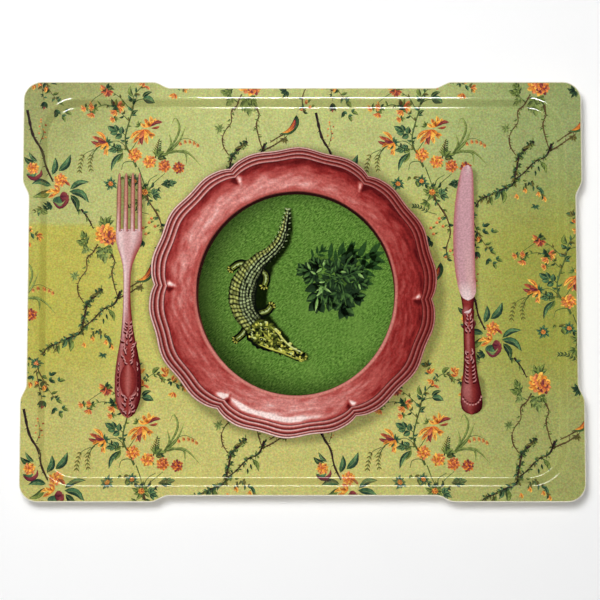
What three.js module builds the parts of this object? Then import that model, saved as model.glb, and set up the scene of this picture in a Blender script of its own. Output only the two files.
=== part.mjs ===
// A pressed laminate serving tray, built as the four layers that are bonded in the press.
// Millimetres. +X runs along the long side and +Z up, and the origin is on the table
// under the middle of the tray.
import * as THREE from 'three';
import { LoftGeometry } from 'three/addons/geometries/LoftGeometry.js';
import { mergeGeometries, mergeVertices } from 'three/addons/utils/BufferGeometryUtils.js';

// Outline, seen from above
const trayLength = 460; // over the corners
const trayWidth = 345;
const outlineCorner = 15; // radius of the four outer corners
const gripDepth = 5; // the middle of every side steps in by this much, as a finger grip
const gripStepRun = 14.5; // length of each S-shaped step
const longSideStep = 116; // distance of a long side's steps from its middle
const shortSideStep = 84; // the same on a short side

// Section through the rim
const trayHeight = 15; // table to the top of the flange
const flangeWidth = 7.2; // flat flange where the side steps in
const wallRun = 8; // how far the wall leans outwards as it rises
const wellCorner = 24.5; // corner radius of the flat floor
const floorFillet = 2.2; // radius from floor to wall, on the top surface
const crownFillet = 3.3; // radius from wall to flange, on the top surface

// Each layer's top and bottom, as depths below the tray's top surface
const overlayDepths = { top: 0, bottom: 0.15 };
const printDepths = { top: 0.2, bottom: 0.5 };
const coreDepths = { top: 0.55, bottom: 2.55 };
const backingDepths = { top: 2.6, bottom: 2.85 };

// Cut edge: the thin sheets stop short of it and the core shows as a narrow border
const coreBorder = 0.7; // width of the border
const sheetGap = 0.1; // play between the border and the sheets inlaid in it
const edgeBevel = 0.3; // broken corners of the cut edge

// Facets of the curved stretches
const stepSegments = 3;
const cornerSegments = 5;
const filletSegments = 3;

const weldDistance = 1e-3;

// Flat plan sizes that follow from the driving dimensions
const floorTop = backingDepths.bottom;
const gripHalf = new THREE.Vector2(trayLength / 2 - gripDepth, trayWidth / 2 - gripDepth);
const floorHalf = gripHalf.clone().subScalar(flangeWidth + wallRun);
const floorCornerCentre = floorHalf.clone().subScalar(wellCorner);
const outlineCornerCentre = new THREE.Vector2(trayLength / 2, trayWidth / 2).subScalar(outlineCorner);

// Slope of the straight stretch of wall that touches both fillets
const filletSum = floorFillet + crownFillet;
const centreRise = trayHeight - floorTop - filletSum;
const wallAngle = Math.atan2(centreRise, wallRun) + Math.asin(filletSum / Math.hypot(wallRun, centreRise));

// Stations round one quarter of the tray: the short side's step, the corner, the long side's step
function quarterStations() {
  const stations = [];
  for (let i = 0; i <= stepSegments; i += 1) {
    stations.push({ place: 'shortSide', along: i / stepSegments });
  }
  for (let i = 0; i <= cornerSegments; i += 1) {
    stations.push({ place: 'corner', along: i / cornerSegments });
  }
  for (let i = stepSegments; i >= 0; i -= 1) {
    stations.push({ place: 'longSide', along: i / stepSegments });
  }
  return stations;
}

function cornerPoint(centre, radius, along) {
  const angle = (along * Math.PI) / 2;
  return new THREE.Vector2(radius * Math.cos(angle), radius * Math.sin(angle)).add(centre);
}

// A point of the rounded rectangle that lies `reach` outside the flat floor
function wellPoint(station, reach) {
  const offset = (station.along - 0.5) * gripStepRun;
  if (station.place === 'shortSide') {
    return new THREE.Vector2(floorHalf.x + reach, shortSideStep + offset);
  }
  if (station.place === 'longSide') {
    return new THREE.Vector2(longSideStep + offset, floorHalf.y + reach);
  }
  return cornerPoint(floorCornerCentre, wellCorner + reach, station.along);
}

// A point of the stepped outline, moved in by `inset`
function outlinePoint(station, inset) {
  const offset = (station.along - 0.5) * gripStepRun;
  const swell = gripDepth * THREE.MathUtils.smoothstep(station.along, 0, 1) - inset;
  if (station.place === 'shortSide') {
    return new THREE.Vector2(gripHalf.x + swell, shortSideStep + offset);
  }
  if (station.place === 'longSide') {
    return new THREE.Vector2(longSideStep + offset, gripHalf.y + swell);
  }
  return cornerPoint(outlineCornerCentre, outlineCorner - inset, station.along);
}

// One closed loop round the tray, anticlockwise from above, mirrored from its first quarter
function fullLoop(pointAt, height) {
  const quarter = quarterStations().map(pointAt);
  const mirrored = [...quarter].reverse();
  const quarters = [
    { points: quarter, signX: 1, signY: 1 },
    { points: mirrored, signX: -1, signY: 1 },
    { points: quarter, signX: -1, signY: -1 },
    { points: mirrored, signX: 1, signY: -1 },
  ];
  return quarters.flatMap(({ points, signX, signY }) =>
    points.map((point) => new THREE.Vector3(signX * point.x, signY * point.y, height)));
}

function wellLoop(reach, height) {
  return fullLoop((station) => wellPoint(station, reach), height);
}

function outlineLoop(inset, height) {
  return fullLoop((station) => outlinePoint(station, inset), height);
}

// Loops from the floor's edge up the wall and out over the flange, at one depth in the laminate
function surfaceLoops(depth, inset) {
  const loops = [];
  const floorRadius = floorFillet + depth;
  const crownRadius = crownFillet - depth;
  for (let i = 0; i <= filletSegments; i += 1) {
    const angle = (wallAngle * i) / filletSegments;
    const height = floorTop + floorFillet - floorRadius * Math.cos(angle);
    loops.push(wellLoop(floorRadius * Math.sin(angle), height));
  }
  for (let i = filletSegments; i >= 0; i -= 1) {
    const angle = (wallAngle * i) / filletSegments;
    const height = trayHeight - crownFillet + crownRadius * Math.cos(angle);
    loops.push(wellLoop(wallRun - crownRadius * Math.sin(angle), height));
  }
  loops.push(outlineLoop(inset, trayHeight - depth));
  return loops;
}

// A flat face that fills a loop, facing up
function flatFace(loop) {
  const outline = new THREE.Shape(loop.map((point) => new THREE.Vector2(point.x, point.y)));
  return new THREE.ShapeGeometry(outline);
}

// A closed layer: out along its underside, round its edge, back along its top, with flat floors
function layerGeometry(depths, inset, edgeLoops = []) {
  const underside = surfaceLoops(depths.bottom, inset);
  const topside = surfaceLoops(depths.top, inset);
  const skin = new LoftGeometry([...underside, ...edgeLoops, ...topside.toReversed()]);
  const topFloor = flatFace(topside[0]).translate(0, 0, floorTop - depths.top);
  const bottomFloor = flatFace(underside[0]).rotateX(Math.PI).translate(0, 0, floorTop - depths.bottom);
  const closed = mergeGeometries([skin, topFloor, bottomFloor]);
  closed.deleteAttribute('normal');
  closed.deleteAttribute('uv');
  const welded = mergeVertices(closed, weldDistance);
  welded.computeVertexNormals();
  return welded;
}

// The core's border: down and up to the outer faces, with both corners of the cut edge broken
function borderLoops() {
  const undersideHeight = trayHeight - backingDepths.bottom;
  return [
    outlineLoop(coreBorder, undersideHeight),
    outlineLoop(edgeBevel, undersideHeight),
    outlineLoop(0, undersideHeight + edgeBevel),
    outlineLoop(0, trayHeight - edgeBevel),
    outlineLoop(edgeBevel, trayHeight),
    outlineLoop(coreBorder, trayHeight),
  ];
}

function namedLayer(name, geometry, materialValues) {
  const mesh = new THREE.Mesh(geometry, new THREE.MeshStandardMaterial(materialValues));
  mesh.name = name;
  return mesh;
}

// Clear wear layer over the picture
function clearOverlay() {
  return namedLayer('clear_overlay', layerGeometry(overlayDepths, coreBorder + sheetGap), {
    color: 0xe9ead0,
    roughness: 0.15,
    metalness: 0,
    transparent: true,
    opacity: 0.25,
  });
}

// Paper that carries the picture, green-gold overall
function printedSheet() {
  return namedLayer('printed_sheet', layerGeometry(printDepths, coreBorder + sheetGap), {
    color: 0xb5b067,
    roughness: 0.4,
    metalness: 0,
  });
}

// Pressed fibre and resin body, pale where its cut edge shows
function mouldedCore() {
  return namedLayer('moulded_core', layerGeometry(coreDepths, coreBorder, borderLoops()), {
    color: 0xe3dcc4,
    roughness: 0.5,
    metalness: 0,
  });
}

// Plain sheet under the tray that keeps the laminate flat
function backingSheet() {
  return namedLayer('backing_sheet', layerGeometry(backingDepths, coreBorder + sheetGap), {
    color: 0xd8d2bb,
    roughness: 0.45,
    metalness: 0,
  });
}

const tray = new THREE.Group();
tray.add(clearOverlay(), printedSheet(), mouldedCore(), backingSheet());

export default tray;
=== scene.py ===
import math
import random

import bmesh
import bpy
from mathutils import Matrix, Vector, noise


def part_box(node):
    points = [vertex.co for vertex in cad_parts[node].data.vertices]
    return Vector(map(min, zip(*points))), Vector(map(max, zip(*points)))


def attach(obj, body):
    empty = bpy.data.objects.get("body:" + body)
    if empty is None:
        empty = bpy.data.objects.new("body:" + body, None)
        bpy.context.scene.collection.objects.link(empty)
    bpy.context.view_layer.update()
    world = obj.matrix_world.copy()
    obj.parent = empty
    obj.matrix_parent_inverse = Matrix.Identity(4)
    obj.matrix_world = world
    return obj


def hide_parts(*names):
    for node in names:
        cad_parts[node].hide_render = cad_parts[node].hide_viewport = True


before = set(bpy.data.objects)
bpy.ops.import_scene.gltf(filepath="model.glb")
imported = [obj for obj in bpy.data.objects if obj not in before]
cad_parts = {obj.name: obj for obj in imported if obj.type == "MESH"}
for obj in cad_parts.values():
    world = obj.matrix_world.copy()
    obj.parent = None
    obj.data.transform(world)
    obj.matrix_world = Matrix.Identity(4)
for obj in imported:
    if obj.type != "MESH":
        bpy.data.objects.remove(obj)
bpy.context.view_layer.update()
print("frame loaded")

mm = 0.001


class Shade:
    # wraps one socket of a node tree, so that shader maths reads as Python maths

    def __init__(self, tree, socket=None):
        self.tree = tree
        self.socket = socket

    def node(self, kind, settings=None, feeds=None, output=0):
        made = self.tree.nodes.new(kind)
        for name, value in (settings or {}).items():
            if name == "stops":
                while len(made.color_ramp.elements) < len(value):
                    made.color_ramp.elements.new(0.5)
                for element, (position, colour) in zip(made.color_ramp.elements, value):
                    element.position = position
                    element.color = colour
            else:
                setattr(made, name, value)
        for name, value in (feeds or {}).items():
            if isinstance(value, Shade):
                self.tree.links.new(value.socket, made.inputs[name])
            else:
                made.inputs[name].default_value = value
        return Shade(self.tree, made.outputs[output])

    def maths(self, operation, first, second=0.0):
        return self.node("ShaderNodeMath", {"operation": operation}, {0: first, 1: second})

    def __add__(self, other):
        return self.maths("ADD", self, other)

    def __radd__(self, other):
        return self.maths("ADD", other, self)

    def __sub__(self, other):
        return self.maths("SUBTRACT", self, other)

    def __rsub__(self, other):
        return self.maths("SUBTRACT", other, self)

    def __mul__(self, other):
        return self.maths("MULTIPLY", self, other)

    def __rmul__(self, other):
        return self.maths("MULTIPLY", other, self)

    def sqrt(self):
        return self.maths("SQRT", self)

    def size(self):
        return self.maths("ABSOLUTE", self)

    def atLeast(self, other):
        return self.maths("MAXIMUM", self, other)

    def atMost(self, other):
        return self.maths("MINIMUM", self, other)

    def ramp(self, low, high, start=0.0, end=1.0):
        # smooth change from start to end as the value goes from low to high
        return self.node("ShaderNodeMapRange", {"interpolation_type": "SMOOTHSTEP"},
                         {"Value": self, "From Min": low, "From Max": high,
                          "To Min": start, "To Max": end})

    def blend(self, first, second, factor, mode="MIX"):
        return self.node("ShaderNodeMix", {"data_type": "RGBA", "blend_type": mode},
                         {0: factor, 6: first, 7: second}, output=2)

    def scaled(self, factor):
        # a colour or vector times a value
        return self.node("ShaderNodeVectorMath", {"operation": "SCALE"},
                         {0: self, "Scale": factor})

    def place(self):
        # object coordinates
        return self.node("ShaderNodeTexCoord", output=3)

    def planAxes(self):
        # x and y of a place
        split = self.node("ShaderNodeSeparateXYZ", feeds={0: self})
        return split, Shade(self.tree, split.socket.node.outputs[1])

    def noise(self, scale, detail=2.0, roughness=0.5, where=None):
        return self.node("ShaderNodeTexNoise", {}, {"Vector": where or self.place(), "Scale": scale,
                                                    "Detail": detail, "Roughness": roughness})

    def bump(self, strength, distance):
        return self.node("ShaderNodeBump", {}, {"Strength": strength, "Distance": distance, "Height": self})

    def feed(self, shader, name):
        self.tree.links.new(self.socket, shader.inputs[name])


def linear(red, green, blue):
    # a screen colour, 0 to 255, as scene values
    values = []
    for part in (red, green, blue):
        part = part / 255
        values.append(part / 12.92 if part <= 0.04045 else ((part + 0.055) / 1.055) ** 2.4)
    return (*values, 1.0)


def toned(table):
    # the same for every colour of a table of tones
    return {name: tuple(linear(*colour) for colour in colours) for name, colours in table.items()}


def mixed(first, second, factor):
    factor = min(max(factor, 0.0), 1.0)
    return tuple(a + (b - a) * factor for a, b in zip(first, second))


def smoothStep(value):
    value = min(max(value, 0.0), 1.0)
    return value * value * (3 - 2 * value)


def newMaterial(name):
    material = bpy.data.materials.new(name)
    material.use_nodes = True
    return material, material.node_tree.nodes["Principled BSDF"], Shade(material.node_tree)


def leftOf(direction):
    return Vector((-direction[1], direction[0]))


def headingOf(direction):
    return math.degrees(math.atan2(direction[1], direction[0]))


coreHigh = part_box("moulded_core")[1]
tray = {  # outline and section
    "halfLength": coreHigh[0],
    "halfWidth": coreHigh[1],
    "rimHeight": coreHigh[2],
    "thickness": 2.85 * mm,
    "gripDepth": 5 * mm,
    "gripStepRun": 14.5 * mm,
    "longSideStep": 116 * mm,
    "shortSideStep": 84 * mm,
    "outlineCorner": 15 * mm,
    "flangeWidth": 7.2 * mm,
    "wallRun": 8 * mm,
    "wellCorner": 24.5 * mm,
    "floorFillet": 2.2 * mm,
    "crownFillet": 3.3 * mm,
    "coreBorder": 0.7 * mm,
    "sheetInset": 0.8 * mm,
    "filletSegments": 6,
    "cornerSegments": 24,
    "stepSegments": 8,
}
gripHalf = (tray["halfLength"] - tray["gripDepth"], tray["halfWidth"] - tray["gripDepth"])
floorHalf = tuple(half - tray["flangeWidth"] - tray["wallRun"] for half in gripHalf)
wellCentre = tuple(half - tray["wellCorner"] for half in floorHalf)
outlineCentre = (tray["halfLength"] - tray["outlineCorner"], tray["halfWidth"] - tray["outlineCorner"])
floorTop = tray["thickness"]
filletSum = tray["floorFillet"] + tray["crownFillet"]
centreRise = tray["rimHeight"] - floorTop - filletSum
wallAngle = (math.atan2(centreRise, tray["wallRun"])
             + math.asin(filletSum / math.hypot(tray["wallRun"], centreRise)))


def sectionRows():
    # reach outside the floor, height and tilt down the top surface, from the floor to the flange
    rows = []
    steps = tray["filletSegments"]
    for step in range(steps + 1):
        tilt = wallAngle * step / steps
        rows.append((tray["floorFillet"] * math.sin(tilt),
                     floorTop + tray["floorFillet"] * (1 - math.cos(tilt)), tilt))
    for step in range(steps, -1, -1):
        tilt = wallAngle * step / steps
        rows.append((tray["wallRun"] - tray["crownFillet"] * math.sin(tilt),
                     tray["rimHeight"] - tray["crownFillet"] * (1 - math.cos(tilt)), tilt))
    return rows


def quarterStations():
    steps, corners = tray["stepSegments"], tray["cornerSegments"]
    stations = [("short", step / steps) for step in range(steps + 1)]
    stations += [("corner", step / corners) for step in range(corners + 1)]
    stations += [("long", step / steps) for step in range(steps, -1, -1)]
    return stations


def wellPoint(place, along, reach):
    offset = (along - 0.5) * tray["gripStepRun"]
    if place == "short":
        return floorHalf[0] + reach, tray["shortSideStep"] + offset
    if place == "long":
        return tray["longSideStep"] + offset, floorHalf[1] + reach
    angle, radius = along * math.pi / 2, tray["wellCorner"] + reach
    return wellCentre[0] + radius * math.cos(angle), wellCentre[1] + radius * math.sin(angle)


def outlinePoint(place, along, inset):
    offset = (along - 0.5) * tray["gripStepRun"]
    swell = tray["gripDepth"] * smoothStep(along) - inset
    if place == "short":
        return gripHalf[0] + swell, tray["shortSideStep"] + offset
    if place == "long":
        return tray["longSideStep"] + offset, gripHalf[1] + swell
    angle, radius = along * math.pi / 2, tray["outlineCorner"] - inset
    return outlineCentre[0] + radius * math.cos(angle), outlineCentre[1] + radius * math.sin(angle)


def fullLoop(pointAt, distance, height):
    quarter = [pointAt(place, along, distance) for place, along in quarterStations()]
    mirrored = quarter[::-1]
    turns = ((quarter, 1, 1), (mirrored, -1, 1), (quarter, -1, -1), (mirrored, 1, -1))
    return [Vector((signX * x, signY * y, height)) for points, signX, signY in turns for x, y in points]


def surfaceLoops(depth, inset):
    # loops up the wall and out over the flange, at one depth in the laminate
    loops = [fullLoop(wellPoint, reach + depth * math.sin(tilt), height - depth * math.cos(tilt))
             for reach, height, tilt in sectionRows()]
    loops.append(fullLoop(outlinePoint, inset, tray["rimHeight"] - depth))
    return loops


def wellReach(x, y):
    # distance outside the flat floor, and the outward direction
    pastX, pastY = abs(x) - wellCentre[0], abs(y) - wellCentre[1]
    if pastX > 0 and pastY > 0:
        span = math.hypot(pastX, pastY)
        return span - tray["wellCorner"], (math.copysign(pastX / span, x), math.copysign(pastY / span, y))
    if abs(x) - floorHalf[0] > abs(y) - floorHalf[1]:
        return abs(x) - floorHalf[0], (math.copysign(1, x), 0.0)
    return abs(y) - floorHalf[1], (0.0, math.copysign(1, y))


def surfacePoint(x, y, lift=0.0):
    # the point of the tray's top that lies over x, y, lifted off it, and the surface's normal there
    reach, outward = wellReach(x, y)
    floorTurn = tray["floorFillet"] * math.sin(wallAngle)
    crownTurn = tray["wallRun"] - tray["crownFillet"] * math.sin(wallAngle)
    if reach <= 0:
        tilt, height = 0.0, floorTop
    elif reach >= tray["wallRun"]:
        tilt, height = 0.0, tray["rimHeight"]
    elif reach < floorTurn:
        tilt = math.asin(reach / tray["floorFillet"])
        height = floorTop + tray["floorFillet"] * (1 - math.cos(tilt))
    elif reach > crownTurn:
        tilt = math.asin((tray["wallRun"] - reach) / tray["crownFillet"])
        height = tray["rimHeight"] - tray["crownFillet"] * (1 - math.cos(tilt))
    else:
        tilt = wallAngle
        height = (floorTop + tray["floorFillet"] * (1 - math.cos(wallAngle))
                  + (reach - floorTurn) * math.tan(wallAngle))
    normal = Vector((-outward[0] * math.sin(tilt), -outward[1] * math.sin(tilt), math.cos(tilt)))
    return Vector((x, y, height)) + normal * lift, normal


def clampToOutline(x, y, inset):
    # moves a point that lies outside the printed area to its edge
    def gripEdge(half, distance, step):
        rise = smoothStep((abs(distance) - step) / tray["gripStepRun"] + 0.5)
        return half + tray["gripDepth"] * rise - inset

    if abs(x) > outlineCentre[0] and abs(y) > outlineCentre[1]:
        pastX, pastY = abs(x) - outlineCentre[0], abs(y) - outlineCentre[1]
        span, radius = math.hypot(pastX, pastY), tray["outlineCorner"] - inset
        if span <= radius:
            return x, y, False
        return (math.copysign(outlineCentre[0] + pastX * radius / span, x),
                math.copysign(outlineCentre[1] + pastY * radius / span, y), True)
    edgeX = gripEdge(gripHalf[0], y, tray["shortSideStep"])
    edgeY = gripEdge(gripHalf[1], x, tray["longSideStep"])
    outside = abs(x) > edgeX or abs(y) > edgeY
    return math.copysign(min(abs(x), edgeX), x), math.copysign(min(abs(y), edgeY), y), outside


def gridSurface(bm, columns, rows, pointAt, tintAt=None):
    # a grid whose points are placed by column and row
    made = bmesh.ops.create_grid(bm, x_segments=columns, y_segments=rows, size=0.5)["verts"]
    tint = bm.verts.layers.float_color.get("tint")
    for vert in made:
        column, row = round((vert.co.x + 0.5) * columns), round((vert.co.y + 0.5) * rows)
        vert.co = pointAt(column, row)
        if tintAt:
            vert[tint] = tintAt(column, row)
    return made


def addPiece(name, bm, material, replaced=()):
    mesh = bpy.data.meshes.new(name)
    bm.to_mesh(mesh)
    bm.free()
    mesh.materials.append(material)
    mesh.shade_smooth()
    piece = bpy.data.objects.new(name, mesh)
    bpy.context.scene.collection.objects.link(piece)
    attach(piece, "root")
    if replaced:
        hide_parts(*replaced)
    return piece


def addLayer(name, depthTop, depthBottom, inset, material, replaced, edgeLoops=()):
    # one layer of the laminate as a closed body
    loops = surfaceLoops(depthBottom, inset) + list(edgeLoops) + surfaceLoops(depthTop, inset)[::-1]
    around = len(loops[0])
    bm = bmesh.new()
    gridSurface(bm, around, len(loops) - 1, lambda column, row: loops[row][column % around])
    bmesh.ops.remove_doubles(bm, verts=bm.verts, dist=1e-6)
    bmesh.ops.holes_fill(bm, edges=bm.edges, sides=0)
    bmesh.ops.recalc_face_normals(bm, faces=bm.faces)
    piece = addPiece(name, bm, material, replaced)
    piece.data.set_sharp_from_angle(angle=math.radians(40))
    return piece


picture = {
    "plateCentre": (-7.8 * mm, -0.4 * mm),
    "plateRadius": 118.5 * mm,
    "shadowWidth": 9 * mm,
    "shadowDepth": 0.5,
    "shadowShift": (2.6 * mm, -2.2 * mm),
    "grainScale": 620.0,
    "grainDepth": 0.16,
}
cutleryShadows = (  # middle x, middle y, half length, half width
    (-141.6, 66, 20, 10.4), (-142.6, -5, 42, 2.6), (-141.4, -77, 12, 10.6),
    (138.6, 46, 50, 5.0), (139.2, -35, 30, 3.8), (140.2, -84, 6, 8.8),
)


def printedShade(root):
    # how much light the picture shows beside the plate and the cutlery, 1 in the open
    x, y = root.place().planAxes()
    alongX = x - (picture["plateCentre"][0] + picture["shadowShift"][0])
    alongY = y - (picture["plateCentre"][1] + picture["shadowShift"][1])
    gap = (alongX * alongX + alongY * alongY).sqrt() - picture["plateRadius"]
    shade = gap.ramp(0.0, picture["shadowWidth"], picture["shadowDepth"], 1.0)
    gap = 1.0
    for middleX, middleY, halfLength, halfWidth in cutleryShadows:
        acrossGap = x - middleX * mm
        alongGap = ((y - middleY * mm).size() - halfLength * mm).atLeast(0.0)
        gap = ((acrossGap * acrossGap + alongGap * alongGap).sqrt() - halfWidth * mm).atMost(gap)
    return shade * gap.ramp(-0.3 * mm, 3.4 * mm, 0.55, 1.0), x, y


def glossInk(shader, root):
    # the clear overlay's gloss over the print, the same on every printed piece
    shader.inputs["Roughness"].default_value = 0.6
    shader.inputs["Specular IOR Level"].default_value = 0.0
    shader.inputs["Coat Weight"].default_value = 1.0
    shader.inputs["Coat Roughness"].default_value = 0.06
    root.noise(26.0, 1.0, 0.4).bump(0.1, 0.0006).feed(shader, "Normal")  # a faint orange peel


def inkMaterial(name, variation=0.25, variationScale=260.0, shadowed=True):
    # ink whose colour is held by the mesh's tint, with printed grain and soft variation
    material, shader, root = newMaterial(name)
    tint = root.node("ShaderNodeVertexColor", {"layer_name": "tint"})
    mottle = root.noise(variationScale, 3.0, 0.6).ramp(0.25, 0.75, 1 - variation, 1 + variation)
    grain = root.noise(picture["grainScale"], 2.0, 0.7).ramp(
        0.3, 0.7, 1 - picture["grainDepth"], 1 + picture["grainDepth"])
    light = mottle * grain
    if shadowed:
        light = light * printedShade(root)[0]
    tint.scaled(light).feed(shader, "Base Color")
    glossInk(shader, root)
    return material


# the paper's colours; the top one is the greyer colour above the edge, partly a painted soft reflection in
# the gloss, and the edge's height is where that painted reflection begins
ground = {
    "top": linear(183, 187, 119),
    "middle": linear(195, 189, 104),
    "sides": linear(188, 181, 85),
    "bottom": linear(197, 191, 114),
    "rightTint": (0.93, 1.03, 1.06, 1.0),
    "sheenEdge": 54 * mm,
}


def groundMaterial():
    # green-gold paper, yellower towards the sides, with a speckled grain; greyer above a wavering edge,
    # partly a painted soft reflection in the gloss; darker at both sides and, as painted light falloff, at
    # the upper left corner
    material, shader, root = newMaterial("printed paper")
    shade, x, y = printedShade(root)
    broad = root.noise(14.0, 2.0, 0.5)
    wander = (broad - 0.5) * (14 * mm)
    # above the wavering edge the paper greys: a soft reflection in the gloss, painted into its colour
    sheenSharp = (y + wander).ramp(ground["sheenEdge"] - 3 * mm, ground["sheenEdge"] + 3 * mm)
    sheenSoft = (y + wander).ramp(30 * mm, 125 * mm)
    nearLeft = x.ramp(-165 * mm, -125 * mm, 0.85, 0.0)
    paintedSheen = sheenSoft + (sheenSharp - sheenSoft) * nearLeft
    colour = root.blend(ground["middle"], ground["sides"], x.size().ramp(110 * mm, 185 * mm))
    colour = root.blend(colour, ground["bottom"], (y + wander).ramp(-40 * mm, -112 * mm))
    colour = root.blend(colour, ground["top"], paintedSheen)
    colour = colour.scaled(x.ramp(-215 * mm, -120 * mm, 0.9, 1.0) * x.ramp(60 * mm, 215 * mm, 1.0, 0.68))
    colour = root.blend(colour, ground["rightTint"], x.ramp(40 * mm, 190 * mm), "MULTIPLY")
    # painted shade: the light falling off towards the upper left corner
    corner = (x * -0.6 + y).ramp(200 * mm, 290 * mm, 1.0, 0.72)
    colour = colour.scaled(corner)
    speckle = root.noise(picture["grainScale"], 2.5, 0.75).ramp(
        0.32, 0.68, 1 - picture["grainDepth"], 1 + picture["grainDepth"])
    mottle = root.noise(90.0, 3.0, 0.6).ramp(0.2, 0.8, 0.94, 1.06)
    hues = root.node("ShaderNodeTexNoise", {}, {"Vector": root.place(), "Scale": 820.0, "Detail": 1.0}, 1)
    colour = root.blend(colour, hues.scaled(2.0), 0.34, "MULTIPLY")
    colour = colour.scaled(speckle * mottle * shade)
    colour.feed(shader, "Base Color")
    glossInk(shader, root)
    return material


def coreMaterial():
    # pale pressed fibre, seen along the cut edge
    material, shader, root = newMaterial("pale pressed core")
    fibre = root.noise(900.0, 3.0, 0.6).ramp(0.3, 0.7)
    colour = root.blend(linear(226, 222, 202), linear(205, 198, 172), fibre)
    colour.feed(shader, "Base Color")
    fibre.ramp(0.0, 1.0, 0.4, 0.55).feed(shader, "Roughness")
    fibre.bump(0.15, 0.0002).feed(shader, "Normal")
    return material


def backingMaterial():
    # plain ivory underside with the faint tooth of the press plate and a little scuffing
    material, shader, root = newMaterial("ivory backing")
    tooth = root.noise(1400.0, 2.0, 0.5)
    cloud = root.noise(18.0, 3.0, 0.55).ramp(0.25, 0.75)
    colour = root.blend(linear(214, 208, 186), linear(202, 195, 170), cloud)
    colour.feed(shader, "Base Color")
    root.noise(60.0, 4.0, 0.7).ramp(0.35, 0.7, 0.3, 0.5).feed(shader, "Roughness")
    tooth.bump(0.2, 0.0001).feed(shader, "Normal")
    return material


def roundedBorder(inset, radius, segments=4):
    # the cut edge: down to the outer faces and round both of its corners
    top, bottom = tray["rimHeight"], tray["rimHeight"] - tray["thickness"]
    angles = [math.pi / 2 * step / segments for step in range(segments + 1)]
    turns = [(radius * (1 - math.sin(angle)), radius * (1 - math.cos(angle))) for angle in angles]
    places = [(inset, bottom)] + [(inwards, bottom + rise) for inwards, rise in turns]
    places += [(inwards, top - rise) for inwards, rise in turns[::-1]] + [(inset, top)]
    return [fullLoop(outlinePoint, *place) for place in places]


# top and bottom of each layer below the tray's top surface, and how far it stops short of the edge
addLayer("printed_face", 0.0, 0.5 * mm, tray["sheetInset"], groundMaterial(),
         ("printed_sheet", "clear_overlay"))
addLayer("pressed_core", 0.55 * mm, 2.55 * mm, tray["coreBorder"], coreMaterial(),
         ("moulded_core",), roundedBorder(tray["coreBorder"], 0.45 * mm))
addLayer("ivory_backing", 2.6 * mm, 2.85 * mm, tray["sheetInset"], backingMaterial(),
         ("backing_sheet",))
print("laminate built")

inkLift = 0.05 * mm  # the lowest ink above the sheet
levelStep = 0.01 * mm  # from one level of ink to the next
inkMargin = 1.0 * mm  # plain edge of the sheet


def newInk():
    bm = bmesh.new()
    bm.verts.layers.float_color.new("tint")
    return bm


def curvePoint(spine, along):
    # a point of the smooth curve through the spine's points, and its direction
    count = len(spine) - 1
    place = min(max(along, 0.0), 1.0) * count
    index = min(int(place), count - 1)
    t = place - index
    p1, p2 = Vector(spine[index]), Vector(spine[index + 1])
    p0 = Vector(spine[index - 1]) if index > 0 else p1 * 2 - p2
    p3 = Vector(spine[index + 2]) if index + 2 <= count else p2 * 2 - p1
    point = (p1 * 2 + (p2 - p0) * t + (p0 * 2 - p1 * 5 + p2 * 4 - p3) * t * t
             + (p1 * 3 - p0 - p2 * 3 + p3) * t ** 3) * 0.5
    slope = ((p2 - p0) + (p0 * 2 - p1 * 5 + p2 * 4 - p3) * 2 * t
             + (p1 * 3 - p0 - p2 * 3 + p3) * 3 * t * t) * 0.5
    return point, slope.normalized()


def pointed(width):
    return lambda along: width * math.sin(math.pi * along ** 0.8) ** 0.9


def rounded(width):
    return lambda along: width * math.sin(math.pi * min(along, 0.999) ** 1.3) ** 0.65


def tapered(start, end):
    return lambda along: start + (end - start) * along


def stroke(bm, spine, halfWidth, colours, level, steps=6, centre=(0.0, 0.0)):
    # one brush stroke, in millimetres: base colour to tip colour along it, shaded towards one side
    spots = [curvePoint(spine, step / steps) for step in range(steps + 1)]
    base, tip, shaded = colours

    def pointAt(column, row):
        point, slope = spots[column]
        across = (row - 1) * halfWidth(column / steps)
        x, y = point[0] - slope[1] * across, point[1] + slope[0] * across
        return (centre[0] + x) * mm, (centre[1] + y) * mm, inkLift + level * levelStep

    def tintAt(column, row):
        return mixed(mixed(base, tip, column / steps), shaded, (0.0, 0.15, 0.75)[2 - row])

    gridSurface(bm, steps, 2, pointAt, tintAt)


def drape(bm, fine=1.2 * mm, nearWall=(-1 * mm, 9 * mm)):
    # trims flat drawing to the printed area, cuts it along the wall's bends and lays it on the tray
    outside = set()
    for vert in bm.verts:
        vert.co.x, vert.co.y, isOut = clampToOutline(vert.co.x, vert.co.y, inkMargin)
        if isOut:
            outside.add(vert)
    lost = [face for face in bm.faces if all(vert in outside for vert in face.verts)]
    bmesh.ops.delete(bm, geom=lost, context="FACES")
    rim = [face for face in bm.faces
           if any(wellReach(vert.co.x, vert.co.y)[0] > nearWall[0] for vert in face.verts)]
    geometry = list({part for face in rim for part in (*face.verts, *face.edges, face)})
    for axis in (0, 1):
        for sign in (-1, 1):
            for reach, _, _ in sectionRows():
                spot, normal = Vector((0, 0, 0)), Vector((0, 0, 0))
                spot[axis], normal[axis] = sign * (floorHalf[axis] + reach), sign
                cut = bmesh.ops.bisect_plane(bm, geom=geometry, plane_co=spot, plane_no=normal, dist=1e-7)
                geometry = cut["geom"]
    for _ in range(3):
        long = []
        for edge in bm.edges:
            middle = (edge.verts[0].co + edge.verts[1].co) / 2
            inCorner = abs(middle.x) > wellCentre[0] and abs(middle.y) > wellCentre[1]
            onWall = nearWall[0] < wellReach(middle.x, middle.y)[0] < nearWall[1]
            if inCorner and onWall and edge.calc_length() > fine:
                long.append(edge)
        if long:
            bmesh.ops.subdivide_edges(bm, edges=long, cuts=1, use_grid_fill=True)
    for vert in bm.verts:
        vert.co = surfacePoint(vert.co.x, vert.co.y, vert.co.z)[0]
    bmesh.ops.dissolve_degenerate(bm, dist=1e-6, edges=bm.edges)
    bm.normal_update()
    bmesh.ops.reverse_faces(bm, faces=[face for face in bm.faces if face.normal.z < 0])


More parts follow.
